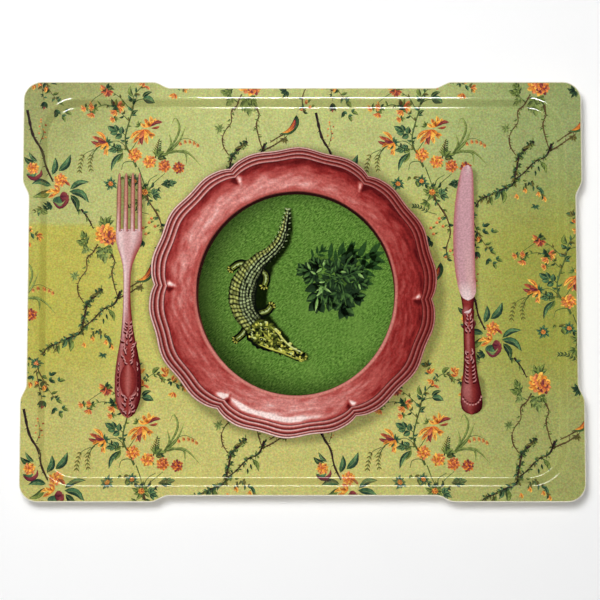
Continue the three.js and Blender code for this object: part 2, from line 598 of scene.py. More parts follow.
def addPrint(name, bm, material):
    # a finished drawing: draped, and shaded with the tray's own normals
    drape(bm)
    piece = addPiece(name, bm, material)
    normals = [surfacePoint(vert.co.x, vert.co.y)[1] for vert in piece.data.vertices]
    piece.data.normals_split_custom_set_from_vertices(normals)
    return piece


# the flowered paper is drawn once, in the repeat's own millimetres; tones run base, tip, shaded side
leafTones = toned({
    "dark": ((40, 64, 44), (76, 104, 60), (30, 34, 42)),
    "teal": ((52, 88, 60), (108, 148, 96), (36, 50, 54)),
    "green": ((88, 110, 52), (150, 164, 82), (50, 66, 42)),
    "pale": ((120, 140, 76), (168, 176, 100), (90, 110, 62)),
    "olive": ((92, 90, 46), (146, 136, 64), (56, 50, 38)),
})
petalTones = toned({
    "flame": ((196, 66, 38), (242, 166, 64), (132, 40, 44)),
    "gold": ((232, 132, 46), (250, 212, 96), (196, 80, 42)),
    "plum": ((104, 40, 54), (150, 70, 66), (56, 28, 50)),
    "coral": ((200, 76, 50), (242, 160, 96), (128, 40, 46)),
    "apricot": ((220, 138, 66), (242, 196, 108), (184, 92, 54)),
    "rust": ((140, 56, 42), (206, 108, 64), (84, 36, 42)),
})
stemTones = toned({
    "bark": ((52, 40, 40), (72, 54, 42), (30, 24, 34)),
    "twig": ((92, 70, 46), (108, 88, 54), (50, 38, 36)),
    "sap": ((80, 98, 54), (104, 120, 66), (52, 66, 44)),
})

stems = newInk()
leaves = newInk()
petals = newInk()


def towards(x, y, angle, reach):
    return x + math.cos(math.radians(angle)) * reach, y + math.sin(math.radians(angle)) * reach


def brush(bm, spine, width, tones, level, steps):
    stroke(bm, spine, pointed(width), tones, level, steps)


def stem(spine, width=0.5, tone="sap", level=0, steps=10):
    stroke(stems, spine, tapered(width, width * 0.55), stemTones[tone], level, steps)


def twig(spine, width=0.95, tone="bark", seed=1, thorns=6):
    # an uneven dark twig with thorns
    chance = random.Random(seed)
    steps = 24
    ripple = [chance.uniform(0.7, 1.25) for _ in range(steps + 1)]

    def halfWidth(along):
        return width * (1.05 - 0.45 * along) * ripple[round(along * steps)]

    stroke(stems, spine, halfWidth, stemTones[tone], 2, steps)
    for thorn in range(thorns):
        point, slope = curvePoint(spine, (thorn + 0.6) / thorns)
        side = chance.choice((-1, 1))
        length = chance.uniform(1.4, 2.8)
        tip = (point[0] + (slope[0] * 0.5 - slope[1] * side) * length,
               point[1] + (slope[1] * 0.5 + slope[0] * side) * length)
        stroke(stems, [point, tip], tapered(0.45, 0.1), stemTones[tone], 1, 2)


def leaf(base, tip, width, tone="green", bend=0.15, level=0):
    # a dark leaf with a lighter one laid on it, off to one side, and a pale midrib
    base, tip = Vector(base), Vector(tip)
    run = tip - base
    side = leftOf(run) * bend
    middle = base + run * 0.5 + side
    under = leafTones[tone][0]
    stroke(leaves, [base, middle, tip], pointed(width), (under, under, leafTones["dark"][2]), level, 6)
    shift = leftOf(run).normalized() * width * 0.24
    stroke(leaves, [base + run * 0.08 + shift, middle + shift, tip - run * 0.07], pointed(width * 0.58),
           leafTones[tone], level + 1, 5)
    if width > 1.5:
        rib = [base + run * 0.05, middle, tip - run * 0.12]
        stroke(leaves, rib, tapered(0.17, 0.08), leafTones["pale"], level + 2, 4)


def toothedLeaf(x, y, angle, size, tone="green", level=0):
    # a leaf of five pointed lobes along one rib
    lobes = ((0.0, 62, 0.5), (0.0, -62, 0.5), (0.3, 40, 0.5), (0.3, -40, 0.5), (0.45, 0, 0.6))
    for share, turn, reach in lobes:
        start = towards(x, y, angle, size * share)
        leaf(start, towards(*start, angle + turn, size * reach), size * 0.19, tone, 0.05, level)
        level += 1


def petal(base, tip, width, tone="flame", bend=0.1, level=0, streak=True):
    base, tip = Vector(base), Vector(tip)
    run = tip - base
    middle = base + run * 0.55 + leftOf(run) * bend
    stroke(petals, [base, middle, tip], rounded(width), petalTones[tone], level, 5)
    if streak:
        dark = petalTones["plum" if tone in ("flame", "rust") else "rust"]
        vein = [base + run * 0.3, middle, tip - run * 0.04]
        stroke(petals, vein, pointed(width * 0.26), dark, level + 1, 3)


def bloom(x, y, tips, size, tones, level=0):
    # a ragged flower: one narrow petal for every tip, and a few short ones between them
    for index, tip in enumerate(tips):
        tone = tones[index % len(tones)]
        petal((x, y), tip, size * 0.11, tone, 0.12 * (index % 3 - 1), level + index % 4)
        near = Vector((x, y)).lerp(Vector(tips[(index + 1) % len(tips)]).lerp(Vector(tip), 0.5), 0.62)
        petal((x, y), near, size * 0.09, tones[(index + 1) % len(tones)], 0.1, level + 4 + index % 2, False)


def carnation(x, y, radius, turn=0.0, tones=("flame", "coral", "plum"), level=0):
    # rings of short ruffled petals round a dark eye
    for ring, (inner, outer, count) in enumerate(((0.3, 1.0, 11), (0.12, 0.72, 8), (0.0, 0.42, 5))):
        for index in range(count):
            angle = turn + (index + ring * 0.5) * 360 / count
            reach = radius * (outer - 0.12 * (index % 2))
            tone = tones[(index + ring) % len(tones)]
            petal(towards(x, y, angle - 14, radius * inner), towards(x, y, angle + 6, reach),
                  radius * 0.2, tone, 0.2, level + ring * 3 + index % 3, index % 3 == 0)


def leafFan(x, y, size, count, facing, spread, tone="green", level=0):
    for index in range(count):
        angle = facing + spread * (index / max(count - 1, 1) - 0.5)
        reach = size * (0.8 + 0.2 * (index % 2))
        leaf((x, y), towards(x, y, angle, reach), size * 0.19, tone, 0.1, level + (index % 3) * 3)


def willowSpray(spine, pairs, size, tone="olive", level=0):
    # a thin drooping stem with paired leaflets
    stem(spine, 0.3, "sap", 0, 8)
    for index in range(pairs):
        point, slope = curvePoint(spine, 0.35 + 0.65 * index / pairs)
        for side in (-1, 1):
            tip = point + slope * size * 0.9 + leftOf(slope) * side * size * 0.7
            stroke(leaves, [point, tip], pointed(size * 0.19), leafTones[tone], level + index % 2, 3)


def blossom(x, y, size, angle, tones=("apricot", "gold", "coral"), leafTone="teal"):
    # a small nodding flower, opened sideways, with a leaf or two at its back
    for index, turn in enumerate((-46, -18, 12, 40)):
        tip = towards(x, y, angle + turn, size * 1.1)
        petal((x, y), tip, size * 0.2, tones[index % len(tones)], 0.1, index)
    back = ((150, 1.0, leafTone), (-130, 0.8, "dark"), (100, 0.8, "green"), (-170, 0.7, leafTone))
    for turn, reach, tone in back:
        leaf((x, y), towards(x, y, angle + turn, size * reach), size * 0.2, tone, 0.1, turn % 3)


def gnarledBranch(spine, seed, width=1.3, amount=60):
    # an old branch grown over with small leaves and lichen
    chance = random.Random(seed)
    twig(spine, width, "bark", seed, 5)
    for index in range(amount):
        point, slope = curvePoint(spine, chance.random())
        side = chance.choice((-1, 1))
        start = point + leftOf(slope) * side * chance.uniform(0, width * 1.2)
        tip = towards(*start, chance.uniform(0, 360), chance.uniform(1.8, 4.0))
        tone = chance.choice(("green", "dark", "olive", "teal", "pale", "dark"))
        stroke(leaves, [start, tip], pointed(chance.uniform(0.6, 1.1)), leafTones[tone], index % 4, 2)


def foliage(spine, seed, amount, size=4.5, tones=("green", "teal", "dark", "olive")):
    # small leaves set on alternate sides of a stem, some with a second at their foot
    chance = random.Random(seed)
    for index in range(amount):
        point, slope = curvePoint(spine, (index + chance.uniform(0.2, 0.8)) / amount)
        side = 1 if index % 2 else -1
        heading = headingOf(slope) + side * chance.uniform(30, 85)
        reach = size * chance.uniform(0.7, 1.2)
        leaf(point, towards(*point, heading, reach), reach * chance.uniform(0.19, 0.26),
             chance.choice(tones), chance.uniform(-0.2, 0.2), (index % 3) * 3)
        if chance.random() < 0.5:
            leaf(point, towards(*point, heading + chance.choice((-48, 48)), reach * 0.7), reach * 0.16,
                 chance.choice(tones), 0.1, (index % 2) * 3)


def hangingLeaves(x, y, count, seed, size=5.0):
    chance = random.Random(seed)
    for index in range(count):
        startX, startY = x + chance.uniform(-size, size), y + chance.uniform(-size, size) * 0.6
        tip = (startX + chance.uniform(-2, 2.5), startY - chance.uniform(0.7, 1.2) * size)
        leaf((startX, startY), tip, size * 0.19, chance.choice(("green", "teal", "dark", "olive")),
             chance.uniform(-0.2, 0.2), (index % 3) * 3)


def each(draw, *marks):
    # the same kind of mark once for every set of values
    for mark in marks:
        draw(*mark)


def drawBouquet():
    stem(((-9.6, -12.5), (-13, -4), (-17.5, 3), (-19, 12.5), (-16, 25), (-12.8, 36), (-11, 45), (-4, 53)),
         0.8, "sap", 1, 20)
    each(foliage, (((-19, 6), (-19, 12.5), (-16, 25), (-12.8, 36), (-11, 45), (-4, 53)), 41, 13, 4.6),
         (((-14, 34), (-22, 43), (-32, 50)), 43, 5, 4.0),
         (((-16, 26), (-21, 31), (-27, 37), (-36, 39), (-47, 36)), 45, 8, 4.0),
         (((-17, 2), (-24, 3), (-36, 6)), 47, 6, 4.6), (((2, -12), (8, -6), (14, -2)), 49, 5, 6.0))
    for spine in (((-19, 14), (-25, 19), (-31, 20)), ((-16, 26), (-21, 31), (-27, 37)),
                  ((-13.5, 34), (-22, 43), (-32, 50)), ((-12, 40), (-6, 42), (-1, 42)),
                  ((-17.5, 4), (-25, 9), (-34, 8)), ((-17, 2), (-24, 3), (-36, 6), (-45, 1), (-51, -6)),
                  ((-36, 6), (-43, 3), (-47, -6)), ((-15, 0), (-10, 8), (-4, 18)),
                  ((-27, 37), (-36, 39), (-47, 36)), ((-32, 50), (-40, 45), (-50, 38)),
                  ((-26, 36), (-27, 32), (-28, 28))):
        stem(spine, 0.4)
    bloom(1, 21, ((1.4, 30.5), (-3, 28), (-6.5, 24), (6, 28.5), (9, 27)), 14, ("gold", "flame", "gold"), 6)
    each(petal, ((1.5, 21), (12, 25), 1.5, "plum", 0.15, 14), ((2, 20), (9.5, 21.5), 1.1, "rust", -0.1, 13))
    bloom(-3.4, 19, ((-15, 10.2), (-12.5, 7.3), (-9, 6), (-5, 5.6), (-0.5, 6.6), (3.6, 10.5), (6.2, 14)),
          15, ("gold", "flame", "coral", "plum", "gold"), 0)
    leafFan(-7, 22, 4.5, 4, 130, 120, "green", 6)
    bloom(-34, 8, ((-43.5, 17), (-46.5, 13), (-47.6, 9), (-44, 4), (-39.6, 2), (-37, -2.5), (-33.5, -3.4)),
          14, ("gold", "rust", "plum", "flame", "gold", "coral"), 2)
    leafFan(-34, 8, 5, 4, 20, 130, "teal", 6)
    each(carnation, (-11, -2.4, 6.4, 0, ("gold", "flame", "coral"), 0),
         (1.2, -8.2, 6.1, 37, ("flame", "coral", "gold"), 10),
         (13.6, -11.8, 5.8, 74, ("coral", "rust", "flame"), 0),
         (25.4, -13.2, 5.5, 111, ("flame", "plum", "rust"), 10))
    for share in range(7):  # a dark fir sprig
        x, y = 6.5 + share * 0.5, -3 + share * 1.9
        for side in (-1, 1):
            reach = 5.6 - 0.55 * share
            brush(leaves, [(x, y), towards(x, y, 78 - side * 48, reach)], 0.6,
                  leafTones["dark" if side > 0 else "olive"], share % 3, 3)
    stem(((6, -5), (9.5, 11)), 0.5, "bark")
    leafFan(8, -4, 9, 5, 40, 120, "green", 0)
    for blade in (((14, -2), (19, 6), (17, 17)), ((14, -2), (22, 9), (26, 20), (22.5, 28.5), (19, 22)),
                  ((15, -2), (25, 8), (31.8, 23)), ((15, -2), (28, 1), (36, -3), (45, -13)),
                  ((22, 0), (31, -1), (32, -11.5)), ((12, -3), (21, 1), (28, 0))):
        brush(leaves, blade, 0.95, leafTones["green"], 2, 11)
        brush(leaves, blade, 0.35, leafTones["pale"], 3, 11)
    stem(((18, 2), (25, 9), (32, 11.5), (40.5, 8)), 0.35, "sap", 0, 10)
    for x, y in ((26, 9), (30, 10.6), (34, 10.6), (37.5, 9.4), (40.5, 7.6)):
        petal((x, y), (x + 0.6, y - 4.2), 1.15, "apricot", 0.05, 1)
        petal((x + 0.9, y - 0.6), (x + 1.6, y - 3.6), 0.5, "rust", 0.05, 2, False)
    each(toothedLeaf, (-22, 15, 150, 13, "teal"), (-24, 3, 190, 9, "teal"))
    each(leaf, ((-22, -1), (-30.5, -16), 2.0, "teal", -0.12), ((-21, 0), (-26, -9), 1.4, "green", 0.1, 3),
         ((-4, 42.5), (6, 40), 2.8, "teal", 0.1), ((-4, 44), (4, 48), 1.8, "dark", 0.1, 3),
         ((-12, 44), (-14, 53), 1.8, "green"), ((-14, 30), (-8.5, 35), 1.6, "dark"))
    petal((-3, 53), (2, 50), 1.2, "coral", 0.1, 2)
    warm = ("apricot", "coral", "gold")
    each(blossom, (-33, 51, 6, 200, ("coral", "gold", "rust"), "dark"),
         (-33, 49, 5, -60, ("rust", "plum", "coral"), "teal"),
         (-26, 38, 6, -20, ("coral", "gold", "apricot"), "dark"), (-27, 35, 5, 230, warm, "teal"),
         (-28, 28, 4, 200, warm, "pale"), (-45, 37, 4.5, 170, warm, "green"),
         (-52, 37, 4, 200, warm, "pale"), (-47, 33, 4.5, 250, ("coral", "apricot", "gold"), "pale"))
    each(willowSpray, (((-45, 2), (-53, -2), (-56, -10), (-57, -18)), 5, 3.4),
         (((-42, 3), (-46, -2), (-48, -9), (-47, -17)), 5, 3.2))
    for spine in (((-10, -13), (-13, -8), (-20, -9), (-22, -15)), ((-8, -13), (-4, -24), (-1, -33)),
                  ((-1, -34), (1, -24), (8, -19)), ((0, -36), (4, -27), (14, -18))):
        stem(spine, 0.5, "sap", 0, 12)


def drawLeafyStem():
    twig(((-1, -36), (1.3, -42), (9, -54), (12.3, -67), (9, -80), (10, -90)), 0.8, "twig", 5, 7)
    each(foliage, (((0, -38), (1.3, -42), (9, -54), (12.3, -67)), 51, 7, 4.2),
         (((10, -78), (9, -84), (10, -90)), 53, 4, 4.6),
         (((-22, -20), (-16, -24), (-8, -27), (0, -30), (10, -30)), 55, 9, 5.2))
    for x, y, size in ((-30.8, -26.6, 6.5), (-11.2, -24.3, 6), (-2.6, -33.6, 8.5)):
        leafFan(x, y, size, 9, 200, 320, "teal" if size < 7 else "green", 0)
        carnation(x, y, size * 0.34, x, ("gold", "flame", "rust"), 8)
    each(toothedLeaf, (15, -27, 10, 9, "teal"), (18, -26, 190, 7, "dark", 4))
    each(leafFan, (4, -36, 8, 5, 10, 130, "teal", 3), (-6, -42, 7, 4, 210, 120, "green", 3))
    for x, y in ((2.9, -56), (6, -62.6), (1, -59.5), (-1.8, -68.9), (-4, -64), (12, -83), (8, -88),
                 (15, -86)):
        petal((x - 1.2, y), (x + 1.6, y + 0.4), 1.35, "coral", 0.1, 1)
        petal((x - 0.3, y + 0.4), (x + 1.2, y + 0.7), 0.5, "apricot", 0.1, 3, False)
        leaf((x + 1.4, y), (x + 4.4, y + 1.8), 0.8, "green")
    willowSpray(((1, -52), (-6, -50), (-13, -46), (-19, -45)), 6, 3.0, "dark")
    leafFan(-4, -74, 7, 5, 200, 150, "dark", 0)
    each(brush, (leaves, ((4, -92), (3.4, -99), (-1.8, -106), (-10, -108)), 3.0, leafTones["dark"], 3, 12),
         (petals, ((2.6, -96), (1.4, -101), (-3, -105.4), (-8, -107)), 1.7, petalTones["flame"], 4, 10),
         (petals, ((3.2, -95), (2.6, -101), (-1.8, -105.4)), 0.6, petalTones["plum"], 6, 8))
    twig(((-2, -107), (-8, -109), (-18, -115)), 0.8, "twig", 6, 5)
    leafFan(-6, -112, 5, 5, 250, 150, "olive", 0)


def drawFruitBranch():
    each(twig, (((-98.8, 33), (-94, 12.5), (-87, 0), (-84, -13), (-78.5, -25)), 1.15, "bark", 9, 9),
         (((-55, -47.7), (-48.8, -56.3), (-44.8, -64.2)), 0.8, "bark", 11, 6))
    each(leaf, ((-79.3, -19), (-77, -4.5), 2.6, "teal", -0.1),
         ((-74, -16), (-64.2, -2), 3.0, "teal", -0.12, 3),
         ((-80, -28), (-94.5, -28.5), 2.6, "teal", -0.14),
         ((-81, -31), (-93.6, -39.5), 2.5, "green", 0.14, 3),
         ((-64.4, -31.3), (-48.5, -25), 2.4, "teal", 0.14),
         ((-65, -33), (-48.6, -42.5), 3.0, "teal", 0.18, 3), ((-64, -36), (-58, -50), 2.8, "dark", 0.14, 6))
    for index in range(9):  # the round fruit, as overlapping crescents
        edge = towards(-72, -39.5, -150 + index * 24, 7.2)
        tone = petalTones["plum"] if index > 3 else leafTones["teal"]
        stroke(petals, ((-73, -37), edge), rounded(2.6), tone, 8 + index % 3, 4)
    each(brush,
         (petals, ((-79, -41), (-73, -46.6), (-66.5, -42), (-65.6, -35)), 1.2, petalTones["plum"], 12, 9),
         (petals, ((-77, -42), (-72, -44), (-68, -40)), 0.7, leafTones["pale"], 14, 6))
    bloom(-73, -33, ((-84.5, -34.5), (-82.6, -38.4), (-81, -30.6), (-78, -28), (-75, -27)), 12,
          ("gold", "flame", "gold", "coral"), 16)
    carnation(-72.4, -23.5, 6.0, 10, ("gold", "flame", "coral"), 12)
    petal((-71, -24), (-64.6, -28.5), 1.2, "rust", 0.1, 22)
    leafFan(-80, -44, 6, 5, 200, 120, "dark", 0)
    each(foliage, (((-82, -48), (-86, -49), (-92, -52)), 61, 5, 4.4),
         (((-57, -46), (-53, -52), (-48.8, -56.3)), 63, 3, 4.4))
    carnation(-93.6, -15.6, 5.4, 40, ("flame", "gold", "coral"), 4)
    each(brush,
         (petals, ((-99, -21), (-93, -24.4), (-87.6, -21), (-87, -16)), 1.7, petalTones["plum"], 8, 8),
         (leaves, ((-99, -20), (-94, -22), (-90, -19)), 1.6, leafTones["teal"], 3, 6))
    each(leaf, ((-92, -11), (-101, -6), 2.2, "dark"), ((-90, -10), (-97, -2), 1.6, "teal", 0.1, 3))
    stem(((-88, 6), (-86, 14), (-87, 24)), 0.3)
    for index in range(9):
        x, y = -87 + 2.4 * math.sin(index * 2.3), 9 + index * 1.9
        tone = ("rust", "apricot", "coral")[index % 3]
        petal((x, y), (x + 1.2, y + 1.3), 0.75, tone, 0.1, index % 2, False)
    leafFan(-87, -50, 5, 7, 250, 260, "pale", 0)


def drawRoseTwigs():
    leafFan(-34, -62, 10, 5, 92, 110, "green", 0)
    each(carnation, (-34.7, -68.9, 9.8, 0, ("gold", "flame", "gold", "coral"), 9),
         (-31, -72, 6.4, 20, ("flame", "coral", "plum"), 19))
    each(toothedLeaf, (-50, -77, 160, 9), (-51, -74, 110, 9, "green", 5), (-49, -80, 220, 7, "pale", 5),
         (-38, -80, 250, 9), (-37, -82, 280, 11, "pale", 5), (-34, -79, 310, 8, "green", 5))
    each(twig, (((-41, -77), (-45, -84), (-50, -89), (-50, -98), (-55, -105), (-57.4, -111)),
                0.65, "twig", 15, 7),
         (((-57.4, -111), (-56.6, -118), (-52, -126)), 0.7, "twig", 16, 6),
         (((-31, -78), (-29, -86), (-26.9, -92), (-29.2, -100), (-26.9, -112), (-23.7, -122)),
          0.8, "twig", 17, 9))
    each(foliage, (((-45, -84), (-50, -92), (-52, -101), (-57, -110)), 65, 5, 3.6, ("green", "pale")),
         (((-29, -86), (-27, -93), (-29, -102), (-26.9, -112)), 67, 6, 3.4, ("green", "pale")))
    stem(((-44, -83), (-49, -80), (-52, -76)), 0.45)
    leafFan(-59.7, -103.3, 5, 7, 150, 280, "pale", 0)


def drawGnarledArms():
    trunk = ((-37, -114), (-42, -119), (-48.8, -126), (-51.5, -137), (-53.5, -148))
    lowArm = ((-52, -147), (-56.6, -151.5), (-64.4, -154.6), (-73.8, -159.3), (-81.6, -162.5))
    gnarledBranch(trunk, 21, 1.3, 80)
    gnarledBranch(((-22, -116), (-27, -126.5), (-36, -131), (-46, -141), (-53, -146)), 23, 0.9, 40)
    gnarledBranch((*lowArm, (-85.5, -168.7)), 25, 0.9, 50)
    twig(((-24, -122), (-14, -117), (-4, -110)), 0.8, "twig", 27, 6)
    each(leaf, ((-64, -155), (-63, -166), 2.4, "green"), ((-66, -156), (-70, -163), 1.7, "teal", 0.1, 3),
         ((-74, -160), (-77, -167), 1.5, "olive"), ((-72, -160), (-72, -168), 1.4, "green", -0.1, 3))
    each(hangingLeaves, (-42, -149, 8, 33, 4.6), (-34, -136, 4, 35, 4.4))
    each(leaf, ((-32, -131), (-27, -141), 1.8, "green"), ((-34, -152), (-30, -162), 1.4, "teal"))
    leafFan(-36, -168, 4.4, 5, 250, 200, "teal", 0)
    each(foliage, (lowArm, 71, 12, 4.4), (((-50, -144), (-42, -150), (-34, -154), (-29, -162)), 73, 9, 4.4),
         (trunk, 75, 14, 4.4))
    for x, y in ((-52, -158), (-34, -156), (-45, -153), (-29, -160)):
        petal((x, y), (x + 1.0, y - 5), 1.1, "gold", 0.1, 6)
        petal((x, y), (x - 1.6, y - 3.6), 0.8, "apricot", 0.1, 4, False)


def drawHangingSpray():
    leafFan(-89.4, -176, 5.6, 11, 0, 330, "teal", 2)
    carnation(-89, -176, 2.4, 0, ("apricot", "rust", "coral"), 6)
    longShoot = ((-88, -180), (-84, -190), (-79, -199), (-73, -206))
    shortShoot = ((-89, -181), (-87, -194), (-85, -205))
    each(stem, (longShoot, 0.4, "twig", 1, 12), (shortShoot, 0.4, "twig", 1, 12))
    for x, y, angle in ((-78.5, -186, 30), (-72, -190.5, 10), (-80, -190, -20), (-74, -206, -30),
                        (-69, -213, -20), (-76, -212, 250), (-92, -186, 200), (-72, -216, 300)):
        leaf((x, y), towards(x, y, angle, 5.6), 1.5, "dark" if x < -75 else "green", 0.15)
        leaf((x, y), towards(x, y, angle + 70, 4.2), 1.1, "teal", 0.1, 3)
    each(foliage, (longShoot, 77, 8, 4.8), (shortShoot, 79, 6, 4.4),
         (((-92, -172), (-97, -178), (-99, -186)), 81, 5, 4.8))
    for x, y in ((-90, -190), (-85, -193), (-95, -191)):
        petal((x, y), (x + 1.0, y - 5.6), 1.2, "gold", 0.1, 4)
        petal((x + 1, y), (x + 2.6, y - 4), 0.8, "rust", 0.1, 3, False)
    leafFan(-85, -206, 6.5, 4, 262, 60, "dark", 3)
    petal((-85, -206), (-85.5, -213), 1.0, "plum", 0.1, 8)


def drawOrangeSpray():
    shoot = ((-2, -190), (6, -184), (16, -189), (24, -192), (32, -196))
    stem(shoot, 0.35, "sap", 0, 12)
    each(foliage, (shoot, 83, 11, 4.6), (((-2, -190), (-6, -184), (-8, -178), (-6, -172)), 85, 5, 5.0))
    each(leaf, ((5, -184), (11, -179), 1.9), ((10, -186), (15, -192), 1.6),
         ((8, -184), (13, -187), 1.2, "olive", 0.1, 3))
    for x, y, angle in ((17, -186, 120), (21, -190, 30), (29, -195, -10), (22, -199, 250), (-3, -189, 220),
                        (-4, -184, 100), (15, -183, 80)):
        for step, tone in ((-1, "gold"), (0, "apricot"), (1, "flame")):
            petal((x, y), towards(x, y, angle + 40 * step, 5.2), 1.15, tone, 0.1, 2 + step)
    leafFan(-7, -178, 6, 4, 100, 120, "olive", 0)


for motif in (drawLeafyStem, drawRoseTwigs, drawGnarledArms, drawHangingSpray, drawOrangeSpray,
              drawFruitBranch, drawBouquet):
    motif()
print("one repeat drawn:", len(stems.faces), len(leaves.faces), len(petals.faces), "faces")

paperRepeat = {
    "firstX": -128 * mm,
    "firstY": 116 * mm,
    "width": 119 * mm,
    "height": 246 * mm,
    "overrun": 4 * mm,  # kept past the tray's sides until it is trimmed
    "hiddenRadius": 110 * mm,  # left out under the plate
}


def layRepeats(drawn):
    # lays the drawn repeat across the sheet in a half-drop, without what the plate would hide
    single = bpy.data.meshes.new("repeat")
    drawn.to_mesh(single)
    drawn.free()
    sheet = newInk()
    for column in range(-1, 4):
        for row in range(-1, 2):
            before = len(sheet.verts)
            sheet.from_mesh(single)
            sheet.verts.ensure_lookup_table()
            x = paperRepeat["firstX"] + column * paperRepeat["width"]
            y = paperRepeat["firstY"] - (row + 0.5 * (column % 2)) * paperRepeat["height"]
            bmesh.ops.translate(sheet, vec=(x, y, 0), verts=sheet.verts[before:])
    bpy.data.meshes.remove(single)
    centreX, centreY = picture["plateCentre"]
    farX, farY = (tray[half] + paperRepeat["overrun"] for half in ("halfLength", "halfWidth"))
    hidden = [vert for vert in sheet.verts if abs(vert.co.x) > farX or abs(vert.co.y) > farY
              or math.hypot(vert.co.x - centreX, vert.co.y - centreY) < paperRepeat["hiddenRadius"]]
    bmesh.ops.delete(sheet, geom=hidden, context="VERTS")
    return sheet


addPrint("printed_stems", layRepeats(stems), inkMaterial("stem ink", 0.3, 500.0))
addPrint("printed_leaves", layRepeats(leaves), inkMaterial("leaf ink", 0.35, 420.0))
addPrint("printed_petals", layRepeats(petals), inkMaterial("petal ink", 0.25, 380.0))
print("paper laid on the tray")


plate = {
    "centre": picture["plateCentre"],
    "radius": 119.0 * mm,
    "lawnCentre": (-5.1 * mm, -2.7 * mm),
    "lawnRadius": (80.6 * mm, 83.0 * mm),
    "notches": 6,
    "firstNotch": -3.0,
    "columns": 720,
    "level": 26,
}
plateBands = (  # share of the rim's width from its inner edge, colour in shade, colour in light
    (0.66, (96, 22, 22), (128, 36, 34)),
    (0.675, (60, 12, 14), (84, 20, 22)),
    (0.70, (150, 62, 56), (240, 190, 184)),
    (0.72, (140, 52, 48), (206, 124, 116)),
    (0.75, (104, 26, 25), (140, 50, 46)),
    (0.785, (70, 15, 17), (86, 20, 22)),
    (0.81, (158, 72, 66), (244, 202, 196)),
    (0.83, (136, 50, 46), (196, 110, 102)),
    (0.86, (100, 24, 24), (134, 46, 43)),
    (0.89, (66, 14, 16), (80, 20, 22)),
    (0.915, (146, 62, 56), (238, 186, 180)),
    (0.935, (116, 36, 34), (160, 74, 68)),
    (0.955, (74, 16, 18), (96, 28, 28)),
    (0.975, (188, 120, 110), (250, 226, 218)),
    (0.99, (160, 98, 88), (236, 200, 188)),
    (1.00, (80, 40, 30), (120, 74, 58)),
)
plateBands = [(share, linear(*dark), linear(*light)) for share, dark, light in plateBands]
plateTones = (  # the flat of the rim, from its shaded parts to its glints
    (0.0, (84, 18, 20)),
    (0.25, (142, 42, 40)),
    (0.5, (180, 84, 78)),
    (0.75, (214, 142, 134)),
    (1.0, (248, 222, 216)),
)
plateTones = [(light, linear(*colour)) for light, colour in plateTones]
plateGlow = (  # angle and spread, share and reach, amount
    (96, 36, 0.22, 0.22, 0.4), (140, 30, 0.34, 0.26, 0.34), (184, 34, 0.34, 0.34, 0.24),
    (228, 20, 0.3, 0.3, 0.1), (234, 1.9, 0.59, 0.07, 0.8), (262, 22, 0.56, 0.075, 0.8),
    (244, 7, 0.53, 0.07, 0.3), (266, 30, 0.28, 0.3, 0.46), (304, 20, 0.32, 0.26, 0.2),
    (48, 26, 0.2, 0.2, 0.14), (90, 100, 0.66, 0.1, -0.26), (20, 60, 0.6, 0.14, -0.05),
)
plateRows = sorted({band[0] for band in plateBands} | {step / 64 for step in range(65)})


def notchOffset(angle):
    # degrees from the nearest notch
    spacing = 360 / plate["notches"]
    return (angle - plate["firstNotch"] + spacing / 2) % spacing - spacing / 2


def plateOutline(angle):
    offset = notchOffset(angle)
    wave = (-0.006 * math.cos(math.radians(6 * offset)) - 0.0085 * math.cos(math.radians(18 * offset)))
    notch = -0.020 * max(0.0, 1 - abs(offset) / 5) ** 2
    return plate["radius"] * (1 + wave + notch)


def bandColour(share, light):
    for (low, darkLow, lightLow), (high, darkHigh, lightHigh) in zip(plateBands, plateBands[1:]):
        if share <= high:
            step = (share - low) / (high - low)
            return mixed(mixed(darkLow, darkHigh, step), mixed(lightLow, lightHigh, step), light)
    return mixed(plateBands[-1][1], plateBands[-1][2], light)


def flatColour(light):
    light = min(max(light, 0.0), 0.999)
    for (low, dark), (high, pale) in zip(plateTones, plateTones[1:]):
        if light < high:
            return mixed(dark, pale, (light - low) / (high - low))


def lobe(angle, peak, spread):
    # 1 at the peak's direction, falling off to both sides
    return math.exp(-(((angle - peak + 180) % 360 - 180) / spread) ** 2)


def plateColour(angle, share):
    # lit from the left, with brushed streaks, glints off the lower rim and a crease at every notch
    ribs = 0.46 + 0.3 * lobe(angle, 145, 50) + 0.5 * lobe(angle, 262, 28) - 0.44 * lobe(angle, 8, 66)
    if share > 0.66:
        return bandColour(share, min(max(ribs, 0.0), 1.0))
    light = 0.27
    for middle, spread, height, reach, amount in plateGlow:
        light += amount * lobe(angle, middle, spread) * math.exp(-((share - height) / reach) ** 2)
    streak = noise.noise(Vector((angle / 6.5 + share * 3, share * 13, 3.0)))
    grain = noise.noise(Vector((angle / 1.9 + share * 7, share * 34, 9.0)))
    light += 0.2 * streak + 0.1 * grain
    offset = notchOffset(angle)
    depth = max(0.0, 1 - abs(share - 0.60) / 0.17)
    facing = math.copysign(1, math.cos(math.radians(angle)))
    for side, amount in ((facing, 0.85), (-facing, -0.6)):
        light += amount * depth * math.exp(-((offset - side * 1.2 * depth) / (0.5 + 0.9 * depth)) ** 2)
    tone = flatColour(light)
    above = smoothStep(0.5 + 0.75 * math.sin(math.radians(angle - 12)))
    if share < 0.13:
        edge = mixed(linear(206, 130, 118), linear(176, 84, 76), above)
        tone = mixed(edge, tone, smoothStep((share - 0.05 - 0.035 * above) / 0.045))
        tone = mixed(mixed(linear(84, 34, 28), linear(40, 16, 14), above), tone,
                     smoothStep((share - 0.055 * above) / 0.02))
    return tone


